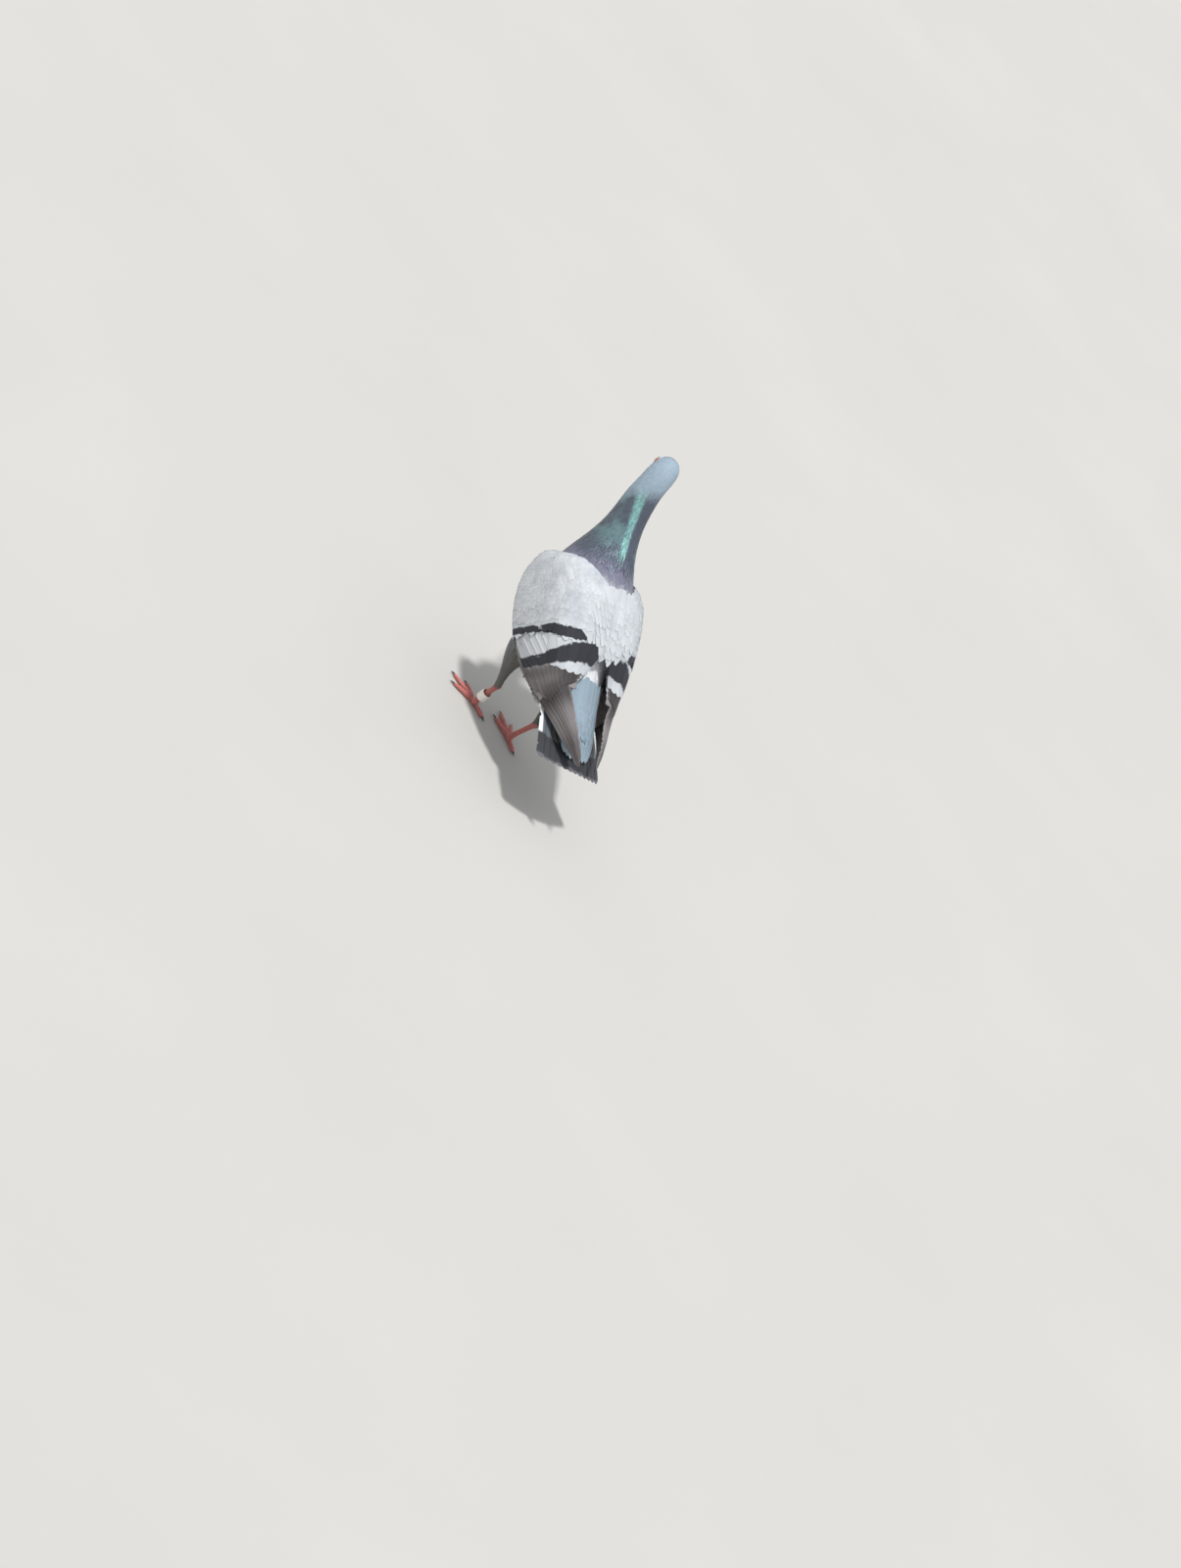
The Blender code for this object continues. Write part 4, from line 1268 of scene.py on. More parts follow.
class PIGEON_OT_body_feathers(PieceOperator):
    """Small feathers of head, neck, breast, back, belly and thighs, laid along the body"""

    bl_idname = "pigeon.body_feathers"
    bl_label = "Body Feathers"

    def candidates(self, rng):
        """Random places on the form, denser where feathers are small."""
        faces = np.array([p.vertices[:] for p in made["form"].data.polygons if len(p.vertices) == 4])
        points = made["points"]
        gaps = np.interp(made["along"], *np.array(FEATHER_GAPS).T)
        height = points[:, 2] / MM
        gaps = np.where(made["of_thigh"] > 0, 1.2 + 2.1 * np.clip((height - 33) / 50, 0, 1), gaps)
        gaps = np.where(made["of_wing"] > 0, np.clip(gaps, 2.1, 2.5), gaps)
        corners = points[faces]
        area = np.linalg.norm(np.cross(corners[:, 2] - corners[:, 0], corners[:, 3] - corners[:, 1]), axis=1)
        weight = area / gaps[faces].mean(1) ** 2
        chosen = rng.choice(len(faces), CANDIDATES, p=weight / weight.sum())
        u, v = rng.random((2, CANDIDATES, 1))
        shares = np.hstack([(1 - u) * (1 - v), u * (1 - v), u * v, (1 - u) * v])

        def blend(table):
            values = table[faces[chosen]]
            return (values * (shares[..., None] if values.ndim == 3 else shares)).sum(1)

        kinds = blend(made["of_wing"]), blend(made["of_thigh"])
        return blend(points), unit(blend(made["normals"])), blend(gaps) * MM, *kinds

    def feathered(self, place, normal, of_wing):
        """Which places have a feather: not bill, eyes, tail root, shank or the outer face of the wing."""
        bare = tree_of("bill_upper", "bill_lower", "cere")
        eyes = [sum(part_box(f"eye_{side}"), Vector()) / 2 for side in SIDES]
        tailward = spine().tailward[spine().locate(place)[2]]
        _, y, z = place.T / MM
        keep = ((normal * tailward).sum(1) < 0.7) | (y < 60)
        keep &= (y < COAT_END_Y) & ((z > COAT_END_Z) | (normal[:, 2] > -0.25))
        front = on_front(place, normal)
        for i in np.flatnonzero(keep):
            spot = Vector(place[i])
            if of_wing[i]:
                away = wing_trees()[side_of(spot.x)].find_nearest(spot)[3]
                near = (OUTER_FACE_IN_FRONT if front[i] else OUTER_FACE) * MM
                below = normal[i, 2] < -0.45 and y[i] >= 0.0
                keep[i] = away > near and y[i] < LINING_END_Y and not below
            elif z[i] > HEAD_FROM_Z:
                keep[i] = bare.find_nearest(spot)[3] > BARE_AT_BILL * MM
                keep[i] &= min((spot - eye).length for eye in eyes) > BARE_ROUND_EYE * MM
        return keep

    def directions(self, place, tailward, of_wing, thigh, under, ahead, flank):
        """Which way each feather lies: tailward on the body, and down the leg on and near the thigh."""
        lie = tailward.copy()
        leg_way = {side: leg_direction(name) for name, side in SIDES.items()}
        x, y, z = place.T / MM
        sign = np.sign(x)
        lie[under] = np.stack([-0.15 * sign[under], np.ones(under.sum()), np.full(under.sum(), -0.2)], 1)
        lie[ahead] = np.stack([sign[ahead], np.full(ahead.sum(), 0.7), np.full(ahead.sum(), -0.35)], 1)
        legs = tree_of("thigh_left", "thigh_right")
        near_leg = (z < 130) & (y > -50)
        for i in np.flatnonzero(~of_wing & (near_leg | thigh)):
            way = leg_way[side_of(x[i])]
            if not near_leg[i]:
                share = 1.0
            elif thigh[i]:
                share = 1 - 0.6 * np.clip((z[i] - 70) / 18, 0, 1)
            else:
                away = legs.find_nearest(Vector(place[i]))[3] / MM
                share = 0.55 * np.clip(1 - away / 12, 0, 1)
            lie[i] = way * share + tailward[i] * (1 - share)
        lie[flank] += (0.0, 0.0, -0.35)
        return lie

    def execute(self, context):
        rng = np.random.default_rng(sizes().seed)
        place, normal, gap, of_wing, of_thigh = self.candidates(rng)
        kept = np.flatnonzero(self.feathered(place, normal, of_wing > 0.4))
        kept = kept[kept_apart(place[kept], gap[kept], rng)]
        place, normal, gap = place[kept], normal[kept], gap[kept]
        thigh, of_wing = of_thigh[kept] > 0.5, of_wing[kept] > 0.4
        ahead = of_wing & on_front(place, normal)
        under = of_wing & ~ahead
        x, y, z = place.T / MM
        flank = ~of_wing & ~thigh & (y > FLANK_FROM_Y) & (y < FLANK_TO_Y) & (z < FLANK_TOP_Z)
        flank &= (np.abs(x) > FLANK_X) & (np.abs(normal[:, 0]) > 0.35) & (normal[:, 2] < 0.2)
        along, turn, mark = spine().locate(place)
        lie = self.directions(place, spine().tailward[mark], of_wing, thigh, under, ahead, flank)
        depth = coat_depth(along) * 0.9
        spots = np.stack([turn / (2 * math.pi) + 0.5, along / along.max()], 1)
        fine = vane("fine_vane", 5, 4, 0.3, 0.34, 0.5, 0.05)
        soft = vane("soft_vane", 9, 5, 0.32, 0.40, 0.42, 0.028)
        body = plumage("Plumage Body", body_colour)
        gloss = plumage("Plumage Neck", body_colour, roughness=0.42, sheen=0.05, metal=0.35)

        def coat(name, slot, part, wide, long, thick, deep, hug=1.0, jitter=0.6, follow=0.3, lift=0.0,
                 feather=soft, material=body):
            rows = root_table(
                place[part], normal[part], lie[part], gap[part] * wide, gap[part] * long, thick * MM,
                refit(spots[part]), rng, deep, hug, jitter * MM,
            )
            lay(name, feather, made["form"], rows, material, slot, follow, lift)

        for name, first, last, slot, wide, long in TRACTS:
            part = (along >= first) & (along < last) & ~thigh & ~of_wing & ~flank
            hug = np.where(y[part] > FREE_BODY_Y, 0.0, 1.0)
            thick, lift, feather = (0.07, 0.055, fine) if first < SMALL_FEATHERS_END else (0.13, 0.05, soft)
            coat(name, slot, part, wide, long, thick, depth[part], hug, lift=lift, feather=feather,
                 material=gloss if name == "coat_neck" else body)
        hug = np.where(y[under] > FREE_LINING_Y, 0.0, 1.0)
        coat("coat_underwing", "wing_plumage", under, 2.6, 4.4, 0.12, 0.8 * MM, hug, jitter=0.5, follow=0.9,
             material=plumage("Plumage Underwing", underwing_colour))
        coat("coat_wing_front", "wing_plumage", ahead, 2.2, 4.2, 0.14, 0.1 * MM, jitter=0.5, follow=0.95,
             lift=0.03, material=plumage("Plumage Wing Front", mantle_colour))
        coat("coat_flanks", "body_plumage", flank, 2.3, 6.2, 0.13, depth[flank], follow=0.0, lift=0.26)
        ankle = np.clip((ANKLE_Z - z[thigh]) / 12, 0, 1)
        coat("coat_thighs", "leg_plumage", thigh, 1.8, 3.6 + 1.6 * ankle, 0.10, (0.9 - 0.6 * ankle) * MM,
             1 - ankle, jitter=0.8, lift=0.06)
        return {"FINISHED"}


# Covert rows from the bar forward: (tips past the front bar, exposed length, width, length)
COVERT_ROWS = (
    (7.0, 13.0, 11.5, 27.0),
    (-6.5, 9.0, 9.5, 20.0),
    (-15.0, 7.5, 8.5, 17.0),
)
# Lesser coverts, ahead of those rows: where they start and end, and how their exposed length shrinks
LESSER_START, LESSER_END = -21.5, -104.0
LESSER_STEP, LESSER_SHRINK, LESSER_LEAST = 5.4, 0.965, 3.0
SHORTEST_COVERT = 3.0


class PIGEON_OT_coverts(PieceOperator):
    """Rows of covert feathers over the shield of each wing, large at the bar and small at the wrist"""

    bl_idname = "pigeon.coverts"
    bl_label = "Wing Coverts"

    def rows(self):
        table = list(COVERT_ROWS)
        past, step = LESSER_START, LESSER_STEP
        while past > LESSER_END:
            table.append((past, step, step * 1.5, step * 3.1))
            past -= step
            step = max(LESSER_LEAST, step * LESSER_SHRINK)
        return table

    def feathers_in_row(self, sheet, past, pitch):
        """How many feathers a pitch apart a row takes, by its girth at its widest."""
        places = [(place_past(sheet, past, b), b) for b in np.linspace(0.05, 0.95, 7)]
        girths = [sheet.length_across(a, b) / MM for a, b in places if 0 <= a <= 1]
        return max(4, round(max(girths) / pitch)) if girths else 0

    def execute(self, context):
        rng = np.random.default_rng(sizes().seed + 1)
        covert = vane("covert_vane", 9, 6, 0.34, 0.42, 0.26, 0.008)
        material = plumage("Plumage Shield", shield_colour)
        for side_name, side in SIDES.items():
            sheet, roots, spots = wings()[side], Roots(), []
            for number, (past, step, width, length) in enumerate(self.rows()):
                count = self.feathers_in_row(sheet, past, width * (0.50 if number < 2 else 0.62))
                for k in range(count):
                    b = (k + 0.5 * (number % 2) + 0.25) / count
                    b = float(np.clip(b + rng.normal(0, 0.05 / count), 0.012, 0.985))
                    tip = place_past(sheet, past + rng.normal(0, 0.06) * step, b)
                    scale = sheet.length_along(np.clip(tip, 0, 1), b) / MM
                    root = tip - length / scale
                    own = length + min(root, 0.0) * scale
                    root = max(root, 0.0)
                    if 0.015 <= tip <= 1 and own >= SHORTEST_COVERT:
                        place = sheet.point(root, b)
                        lie = sheet.point(min(root + 0.02, 1), b) - place
                        roots.add(place, sheet.normal(root, b), lie, width * (0.6 + 0.4 * own / length), own)
                        spots.append((b, root))
            depth = np.interp(np.array(roots.rows)[:, 10], (6, 27), (0.3, 0.7)) * MM
            rows = roots.table(refit(np.array(spots)), rng, depth, jitter=0.35)
            lay(f"coverts_{side_name}", covert, made["form"], rows, material, "wing_plumage", follow=0.95,
                lift=0.042, ruffle=0.05)
        return {"FINISHED"}


# Scapulars, in rows from the neck tailward: (y of their roots, leftmost x, rightmost x, length, width)
SCAPULAR_ROWS = (
    (-34.0, 14.0, -14.0, 14.0, 7.5),
    (-29.0, 19.0, -20.0, 15.0, 8.0),
    (-24.0, 24.0, -24.0, 16.0, 8.3),
    (-19.0, 25.0, -29.0, 17.0, 8.6),
    (-14.0, 29.0, -31.0, 18.0, 9.0),
    (-9.0, 27.0, -35.0, 19.5, 9.3),
    (-4.0, 29.0, -34.0, 21.0, 9.6),
    (1.5, 25.0, -37.0, 22.0, 10.0),
    (7.0, 24.0, -35.0, 23.5, 10.4),
    (12.5, 18.5, -33.0, 25.0, 10.8),
    (18.0, 12.0, -19.0, 26.0, 11.2),
    (23.0, 9.0, -11.0, 25.0, 11.2),
)
SCAPULAR_STEP = 4.7
SADDLE_REACH = 0.006
NECK_FOOT = 160.0


class PIGEON_OT_scapulars(PieceOperator):
    """Pale feathers over the roots of both wings and the back between them"""

    bl_idname = "pigeon.scapulars"
    bl_label = "Scapulars"

    def saddle(self):
        """The form with the valleys between wings and back closed over."""
        saddle = object_of("saddle", made["form"].data.copy())
        modify(saddle, "DISPLACE", mid_level=0.0, strength=SADDLE_REACH)
        modify(saddle, "REMESH", mode="VOXEL", voxel_size=0.002)
        modify(saddle, "DISPLACE", mid_level=0.0, strength=-SADDLE_REACH)
        modify(saddle, "SMOOTH", factor=0.5, iterations=10)
        return evaluated(saddle, "saddle")

    def execute(self, context):
        rng = np.random.default_rng(sizes().seed + 5)
        saddle = self.saddle()
        mesh = saddle.data
        rays = search_tree(coordinates(mesh), [list(p.vertices) for p in mesh.polygons])
        roots, sunk = Roots(), []
        for number, (y, left, right, length, width) in enumerate(SCAPULAR_ROWS):
            count = int((left - right) / SCAPULAR_STEP)
            for k in range(count):
                x = right + (left - right) * (k + 0.5 + 0.5 * (number % 2) - 0.25) / count
                spot = Vector((x + rng.normal(0, 0.5), y + rng.normal(0, 0.8), 300)) * MM
                hit, normal, _, _ = rays.ray_cast(spot, Vector((0, 0, -1)))
                if up_the_neck(hit.y, hit.z) <= NECK_FOOT * MM:
                    roots.add(hit, normal, (-hit.x * 0.008 / MM, 1.0, -0.6), width, length)
                    outward = abs(2 * (k + 0.5) / count - 1)
                    sunk.append(0.75 * max(0.0, outward - 0.55) / 0.45)
        xy = np.array(roots.rows)[:, :2]
        depth = (np.array(sunk) - np.interp(xy[:, 1] / MM, (-30, 0), (-0.5, 0.25))) * MM
        feather = vane("scapular_vane", 9, 6, 0.34, 0.38, 0.36, 0.01)
        rows = roots.table(refit(xy), rng, depth, jitter=0.8)
        lay("scapulars", feather, saddle, rows, plumage("Plumage Mantle", mantle_colour), "wing_plumage",
            follow=0.6, lift=0.055, ruffle=0.08)
        return {"FINISHED"}


# Primaries from the outermost inward: (root b, tip y, tip b)
PRIMARIES = (
    (0.97, 123.0, 0.80),
    (0.95, 127.5, 0.62),
    (0.92, 125.5, 0.48),
    (0.89, 117.0, 0.40),
    (0.86, 107.5, 0.33),
    (0.83, 99.0, 0.28),
    (0.80, 91.5, 0.25),
    (0.77, 85.0, 0.24),
    (0.74, 79.0, 0.25),
    (0.71, 74.0, 0.28),
)
SECONDARY_COUNT, TERTIAL_COUNT = 9, 5
FIRST_LAYER, LAYER = -2.5, 0.105
TERTIAL_LAYER = LAYER * 1.4
PRIMARY_ROOT_Y = 2.0
PRIMARY = dict(half_inner=9.0, half_outer=4.2, round_at=0.88, tilt=0.35, rows=44, blunt=0.16, bow=0.02,
               splits=5)
SECONDARY = dict(half_inner=9.5, half_outer=5.5, tilt=0.25, round_at=0.84, splits=4, camber=0.36)
TERTIAL = dict(half_inner=11.5, half_outer=10.5, round_at=0.8, blunt=0.45)


class PIGEON_OT_flight_feathers(PieceOperator):
    """Primaries, secondaries and tertials of both folded wings, stacked from the lowest up"""

    bl_idname = "pigeon.flight_feathers"
    bl_label = "Flight Feathers"

    def execute(self, context):
        rng = np.random.default_rng(sizes().seed + 2)
        flight = plumage("Plumage Flight", flight_colour, roughness=0.6, sheen=0.05, barb=0.9)
        pale = plumage("Plumage Tertials", shield_colour, barb=0.9)
        low_y, high_y = wings()[1].grid[[0, -1], 0, 1] / MM

        def share(y):
            return (y - low_y) / (high_y - low_y)

        for side_name, side in SIDES.items():
            sheet = wings()[side]
            long = PlumeSet(f"flight_feathers_{side_name}", 5, rng)
            layer = FIRST_LAYER
            for root_b, tip_y, tip_b in PRIMARIES:
                long.add(sheet, (share(PRIMARY_ROOT_Y), root_b), (share(tip_y), tip_b), layer, **PRIMARY)
                layer += LAYER
            for s in np.linspace(0, 1, SECONDARY_COUNT):
                root_b = 0.90 - 0.56 * s
                end = (share(69.0 - 9.0 * s), 0.70 - 0.52 * s)
                long.add(sheet, (place_past(sheet, 1.0, root_b), root_b), end, layer, **SECONDARY)
                layer += LAYER
            long.build(flight, "flight_plumage", f"primaries_{side_name}")
            short = PlumeSet(f"tertials_{side_name}", 3, rng)
            for s in np.linspace(0, 1, TERTIAL_COUNT):
                root_b = 0.52 - 0.47 * s
                tip = place_past(sheet, 42.0 + 3.5 * math.sin(math.pi * s), 0.50 - 0.44 * s)
                start = (place_past(sheet, -4.0, root_b), root_b)
                short.add(sheet, start, (tip, 0.50 - 0.46 * s), layer, **TERTIAL)
                layer += TERTIAL_LAYER
            short.build(pale, "wing_plumage")
        return {"FINISHED"}


RECTRICES = 12
RECTRIX = dict(tilt=0.5, rows=40, round_at=0.93, blunt=0.6, thickness=0.4, camber=0.55, shaft=0.6, splits=4,
               limits=(-0.2, 1.2))
# Rows of coverts over and under the tail, by the y of their tips
UPPER_TAIL_TIPS = (109.0, 103.5, 98.0, 92.5, 87.0, 81.5, 76.0, 70.5)
UNDER_TAIL_TIPS = (101.0, 95.5, 90.0, 84.5, 79.0, 73.5)
TAIL_COVERT_LENGTH = 24.0
TAIL_COVERT = dict(half_inner=4.6, half_outer=4.6, rows=14, round_at=0.6, thickness=0.2, camber=0.45,
                   shaft=0.15, splits=2, limits=(-0.3, 1.3))
# Half widths of the ramps down to the tail: at their start, where they leave the trunk and at their end
RAMP_HALF_WIDTHS = {1: (25.0, 25.0, 14.0), -1: (26.0, 30.0, 20.0)}
# How far the ramps end over the tail's sheet
RAMP_END_HEIGHTS = {1: 1.1, -1: -2.2}


def outside_in(count):
    """Numbers of a row from its two ends to its middle, each with its share from -1 to 1 across the row."""
    middle = (count - 1) / 2
    return [(k - middle) / middle for k in sorted(range(count), key=lambda k: -abs(k - middle))]


class PIGEON_OT_tail(PieceOperator):
    """Twelve tail feathers, the middle pair on top, with the coverts over their roots"""

    bl_idname = "pigeon.tail"
    bl_label = "Tail"

    def execute(self, context):
        rng = np.random.default_rng(sizes().seed + 3)
        sheet = tail_sheet()
        high_y = sheet.grid[-1, 0, 1] / MM
        half = sheet.grid[0, -1, 0] / MM
        tail = PlumeSet("tail_feathers", 4, rng)
        for s in outside_in(RECTRICES):
            x_root, x_tip = 27.0 * s, (35.4 if s > 0 else 40.0) * s
            tip_y = high_y - 8.0 * s * s * 0.84
            end = ((tip_y - TAIL_ROOT) / (high_y - TAIL_ROOT), 0.5 + x_tip / half / 2)
            rightward, leftward = (6.4, 8.6) if s < 0 else (8.6, 6.4)
            tail.add(sheet, (0.0, 0.5 + x_root / half / 2), end, -0.9 - 1.1 * abs(s), half_inner=rightward,
                     half_outer=leftward, **RECTRIX)
        tail.build(plumage("Plumage Tail", tail_colour, roughness=0.66, barb=0.9), "tail_plumage", "tail")
        self.coverts("tail_coverts_upper", self.ramp(sheet, 1), UPPER_TAIL_TIPS, rump_colour, rng)
        self.coverts("tail_coverts_under", self.ramp(sheet, -1), UNDER_TAIL_TIPS, vent_colour, rng)
        return {"FINISHED"}

    def ramp(self, tail, way):
        """A smooth way from the trunk's back (way 1) or its underside (way -1) down to the tail."""
        rays, rows = tree_of("trunk"), []
        for y in np.linspace(RAMP_START, RAMP_END, 34):
            half = np.interp(y, (RAMP_START, RAMP_LEAVES, RAMP_END), RAMP_HALF_WIDTHS[way])
            share = np.clip((y - RAMP_LEAVES) / (RAMP_END - RAMP_LEAVES), 0, 1)
            share = share * (1.6 - 0.6 * share)
            middle = tail.point((y - TAIL_ROOT) / (tail.grid[-1, 0, 1] / MM - TAIL_ROOT), 0.5)[2]
            row = []
            for s in np.linspace(-1, 1, 21):
                x, hit = s * half, None
                while hit is None:
                    spot = Vector((x, min(y, RAMP_LEAVES), 250 * way)) * MM
                    hit = rays.ray_cast(spot, Vector((0, 0, -way)))[0]
                    x *= 0.97
                tail_z = middle - 0.0006 * s * s + RAMP_END_HEIGHTS[way] * MM
                row.append((s * half * MM, y * MM, hit.z * (1 - share) + tail_z * share))
            rows.append(row)
        return Sheet(eased(np.array(rows), 16), way)

    def coverts(self, name, sheet, tips, painter, rng):
        """Rows of feathers from the tail's middle up over its root, the farthest lowest."""
        piece = PlumeSet(name, 9, rng)
        for number, tip in enumerate(tips):
            for s in outside_in(8 + number % 2):
                tip_y = tip - 3.0 * s * s + rng.normal(0, 0.8)
                ys = (tip_y - TAIL_COVERT_LENGTH, tip_y)
                root, end = ((y - RAMP_START) / (RAMP_END - RAMP_START) for y in ys)
                piece.add(sheet, (root, 0.5 + 0.40 * s), (end, 0.5 + 0.47 * s), 0.26 * number, **TAIL_COVERT)
        piece.build(plumage("Plumage " + name.title().replace("_", " "), painter), "tail_plumage")


# ---------------------------------------------------------------- bare parts


# The bill's horn: its grid and how far it swells. Its core: its grid and how far it is grown, then shrunk.
BILL_VOXEL, BILL_SWELL = 0.00022, 0.00016
CORE_VOXEL, CORE_GROWN, CORE_SHRUNK = 0.00025, 0.0005, 0.00062


class PIGEON_OT_bill(PieceOperator):
    """Both halves of the bill, and the chalky cere with its two lobes"""

    bl_idname = "pigeon.bill"
    bl_label = "Bill and Cere"

    def execute(self, context):
        material = horn("Bill Horn", "bill", 0.38, 0.00005)
        halves = ("bill_upper", "bill_lower")
        for node in halves:
            eased_nodes(node + "_horn", (node,), BILL_VOXEL, 4, material, "bill", BILL_SWELL)
        wide = remeshed(copy_of_nodes("bill_copy", halves), CORE_VOXEL, 2, "bill_wide", CORE_GROWN)
        core = remeshed(wide, CORE_VOXEL, 4, "bill_core", -CORE_SHRUNK)
        core.data.materials.append(horn("Bill Core", "claw", 0.6, 0.00003))
        finish(core, "bill")
        lumps, grain = (380.0, 3.0, 0.3, 0.7), (1500.0, 4.0, 0.2, 0.6)
        chalk = clouded("Cere Chalk", "cere", 0.72, (lumps, grain), 0.00018, Roughness=0.85, Sheen_Weight=0.2)
        eased_nodes("cere_skin", ("cere",), 0.0002, 6, chalk, "cere")
        return {"FINISHED"}


EYE_AROUND, EYE_UP = 48, 28
CORNEA_ANGLE, CORNEA_RISE = math.radians(36), 0.06
EYE_SUNK, EYE_SHARE = 0.65 * MM, 0.94
PUPIL, IRIS = 0.42, 0.78
# Section of a lid, as (reach from the axis, height) in shares of the eye's radius
LID_SECTION = (
    (0.70, 0.30), (0.745, 0.52), (0.765, 0.60), (0.79, 0.63), (0.84, 0.61), (0.90, 0.54),
    (0.96, 0.44), (1.03, 0.28), (1.10, 0.06), (1.16, -0.22), (1.0, -0.34), (0.85, -0.1),
)


class PIGEON_OT_eyes(PieceOperator):
    """Both eyes with cornea, iris and pupil, and the bare lids round them"""

    bl_idname = "pigeon.eyes"
    bl_label = "Eyes and Lids"

    def axes(self, side_name):
        """Middle, radius and outward direction of an eye."""
        low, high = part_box(f"eye_{side_name}")
        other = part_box("eye_right" if side_name == "left" else "eye_left")
        middle = (low + high) / 2
        way = (middle - sum(other, Vector()) / 2).normalized()
        return middle, (high.z - low.z) / 2, way

    def execute(self, context):
        ball, lid = self.ball_material(), self.lid_material()
        for side_name in SIDES:
            socket, radius, way = self.axes(side_name)
            turn = way.to_track_quat("Z", "Y").to_matrix()
            self.make_ball(side_name, socket - way * EYE_SUNK, radius * EYE_SHARE, turn, ball)
            self.make_lid(side_name, socket, radius, turn, lid)
        return {"FINISHED"}

    def make_ball(self, side_name, middle, radius, turn, material):
        """A ball with a bulging cornea. Its polar attribute holds the reach from the axis and the spin."""
        points = []
        for i in range(EYE_UP + 1):
            angle = math.pi * (i / EYE_UP) ** 1.3
            share = min(1.0, angle / CORNEA_ANGLE)
            bulge = 1 + CORNEA_RISE * math.cos(share * math.pi / 2)
            for k in range(EYE_AROUND):
                spin = 2 * math.pi * k / EYE_AROUND
                across = math.sin(angle)
                reach = Vector((across * math.cos(spin), across * math.sin(spin), math.cos(angle)))
                points.append(middle + turn @ (reach * radius * bulge))
        mesh = lathe_mesh(f"eyeball_{side_name}", points, EYE_AROUND)
        local = (coordinates(mesh) - np.array(middle)) @ np.array(turn) / radius
        reach = np.hypot(local[:, 0], local[:, 1])
        reach[local[:, 2] < 0] = 1.5
        spins = np.arctan2(local[:, 1], local[:, 0])
        store(mesh, "polar", np.stack([reach, np.cos(spins), np.sin(spins)], 1))
        finish(object_of(f"eyeball_{side_name}", mesh, material), "eye", f"eye_{side_name}")

    def make_lid(self, side_name, middle, radius, turn, material):
        """A soft folded ring of bare skin, whose outer skirt reaches into the head."""
        points = []
        for reach, height in LID_SECTION:
            for k in range(EYE_AROUND * 2):
                spin = math.pi * k / EYE_AROUND
                fold = 1 + 0.010 * math.sin(spin * 14) * (reach > 0.86)
                oval = 1 + 0.05 * math.cos(2 * spin)
                local = Vector((math.cos(spin) * reach * oval, math.sin(spin) * reach / oval, height * fold))
                points.append(middle + turn @ (local * radius))
        mesh = lathe_mesh(f"lid_{side_name}", points, EYE_AROUND * 2, closed=True)
        local = (coordinates(mesh) - np.array(middle)) @ np.array(turn) / radius
        store(mesh, "reach", np.hypot(local[:, 0], local[:, 1]))
        finish(object_of(f"lid_{side_name}", mesh, material), "cere")

    def ball_material(self):
        m = Paint("Eye", Roughness=0.12, Specular_IOR_Level=0.2, Coat_Weight=0.12, Coat_Roughness=0.03)
        reach, _, _ = m.split(m.attribute("polar"))
        fibres = m.noise(m.attribute("polar"), 9.0, 5.0)
        iris = m.mix(m.step(reach + fibres * 0.2, 0.55, 0.95), "iris", (0.42, 0.03, 0.01, 1))
        iris = m.mix(1 - m.step(reach, PUPIL, PUPIL + 0.10), iris, (0.85, 0.36, 0.04, 1))
        shade = m.mix(m.step(reach, PUPIL - 0.02, PUPIL), (0.003, 0.003, 0.003, 1), iris)
        shade = m.mix(m.step(reach, IRIS, IRIS + 0.06), shade, (0.06, 0.03, 0.03, 1))
        m.link("Base Color", shade)
        return m.material

    def lid_material(self):
        m = Paint("Lid", Roughness=0.7)
        place = m.place()
        shade = m.mix(m.step(m.attribute("reach", 2), 0.93, 1.0), "lid", "head")
        m.link("Base Color", m.tint(shade, 0.75 + m.noise(place, 900.0) * 0.5))
        m.bump(m.noise(place, 1600.0), 0.0001)
        return m.material


def lathe_mesh(name, points, around, closed=False):
    """A mesh over rings of points. Closed joins the last ring to the first."""
    rings = len(points) // around
    faces = []
    for i in range(rings if closed else rings - 1):
        for k in range(around):
            j, n = (k + 1) % around, (i + 1) % rings
            faces.append((i * around + k, n * around + k, n * around + j, i * around + j))
    if not closed:
        faces.append(tuple(range(around)))
        faces.append(tuple(range((rings - 1) * around, rings * around))[::-1])
    mesh = mesh_of(name, points, faces)
    bm = bmesh.new()
    bm.from_mesh(mesh)
    bmesh.ops.remove_doubles(bm, verts=bm.verts, dist=1e-7)
    bmesh.ops.recalc_face_normals(bm, faces=bm.faces)
    bm.to_mesh(mesh)
    bm.free()
    mesh.shade_smooth()
    return mesh


TOES = ("inner", "middle", "outer", "hind")
# Along a toe, as shares of it: where its plates start and end; then their pitch and length in millimetres
TOE_PLATES_START, TOE_PLATES_END, TOE_PLATE_PITCH, TOE_PLATE_LENGTH = 0.18, 0.93, 1.45, 2.3
# Down a shank: the shares where its plates start and end, their pitch as a share, their size and turns
SHANK_PLATES_START, SHANK_PLATES_END, SHANK_PLATE_PITCH, SHANK_PLATE_SIZE = 0.02, 0.94, 0.055, 2.6
SHANK_PLATE_TURNS = (-0.62, 0.0, 0.62)


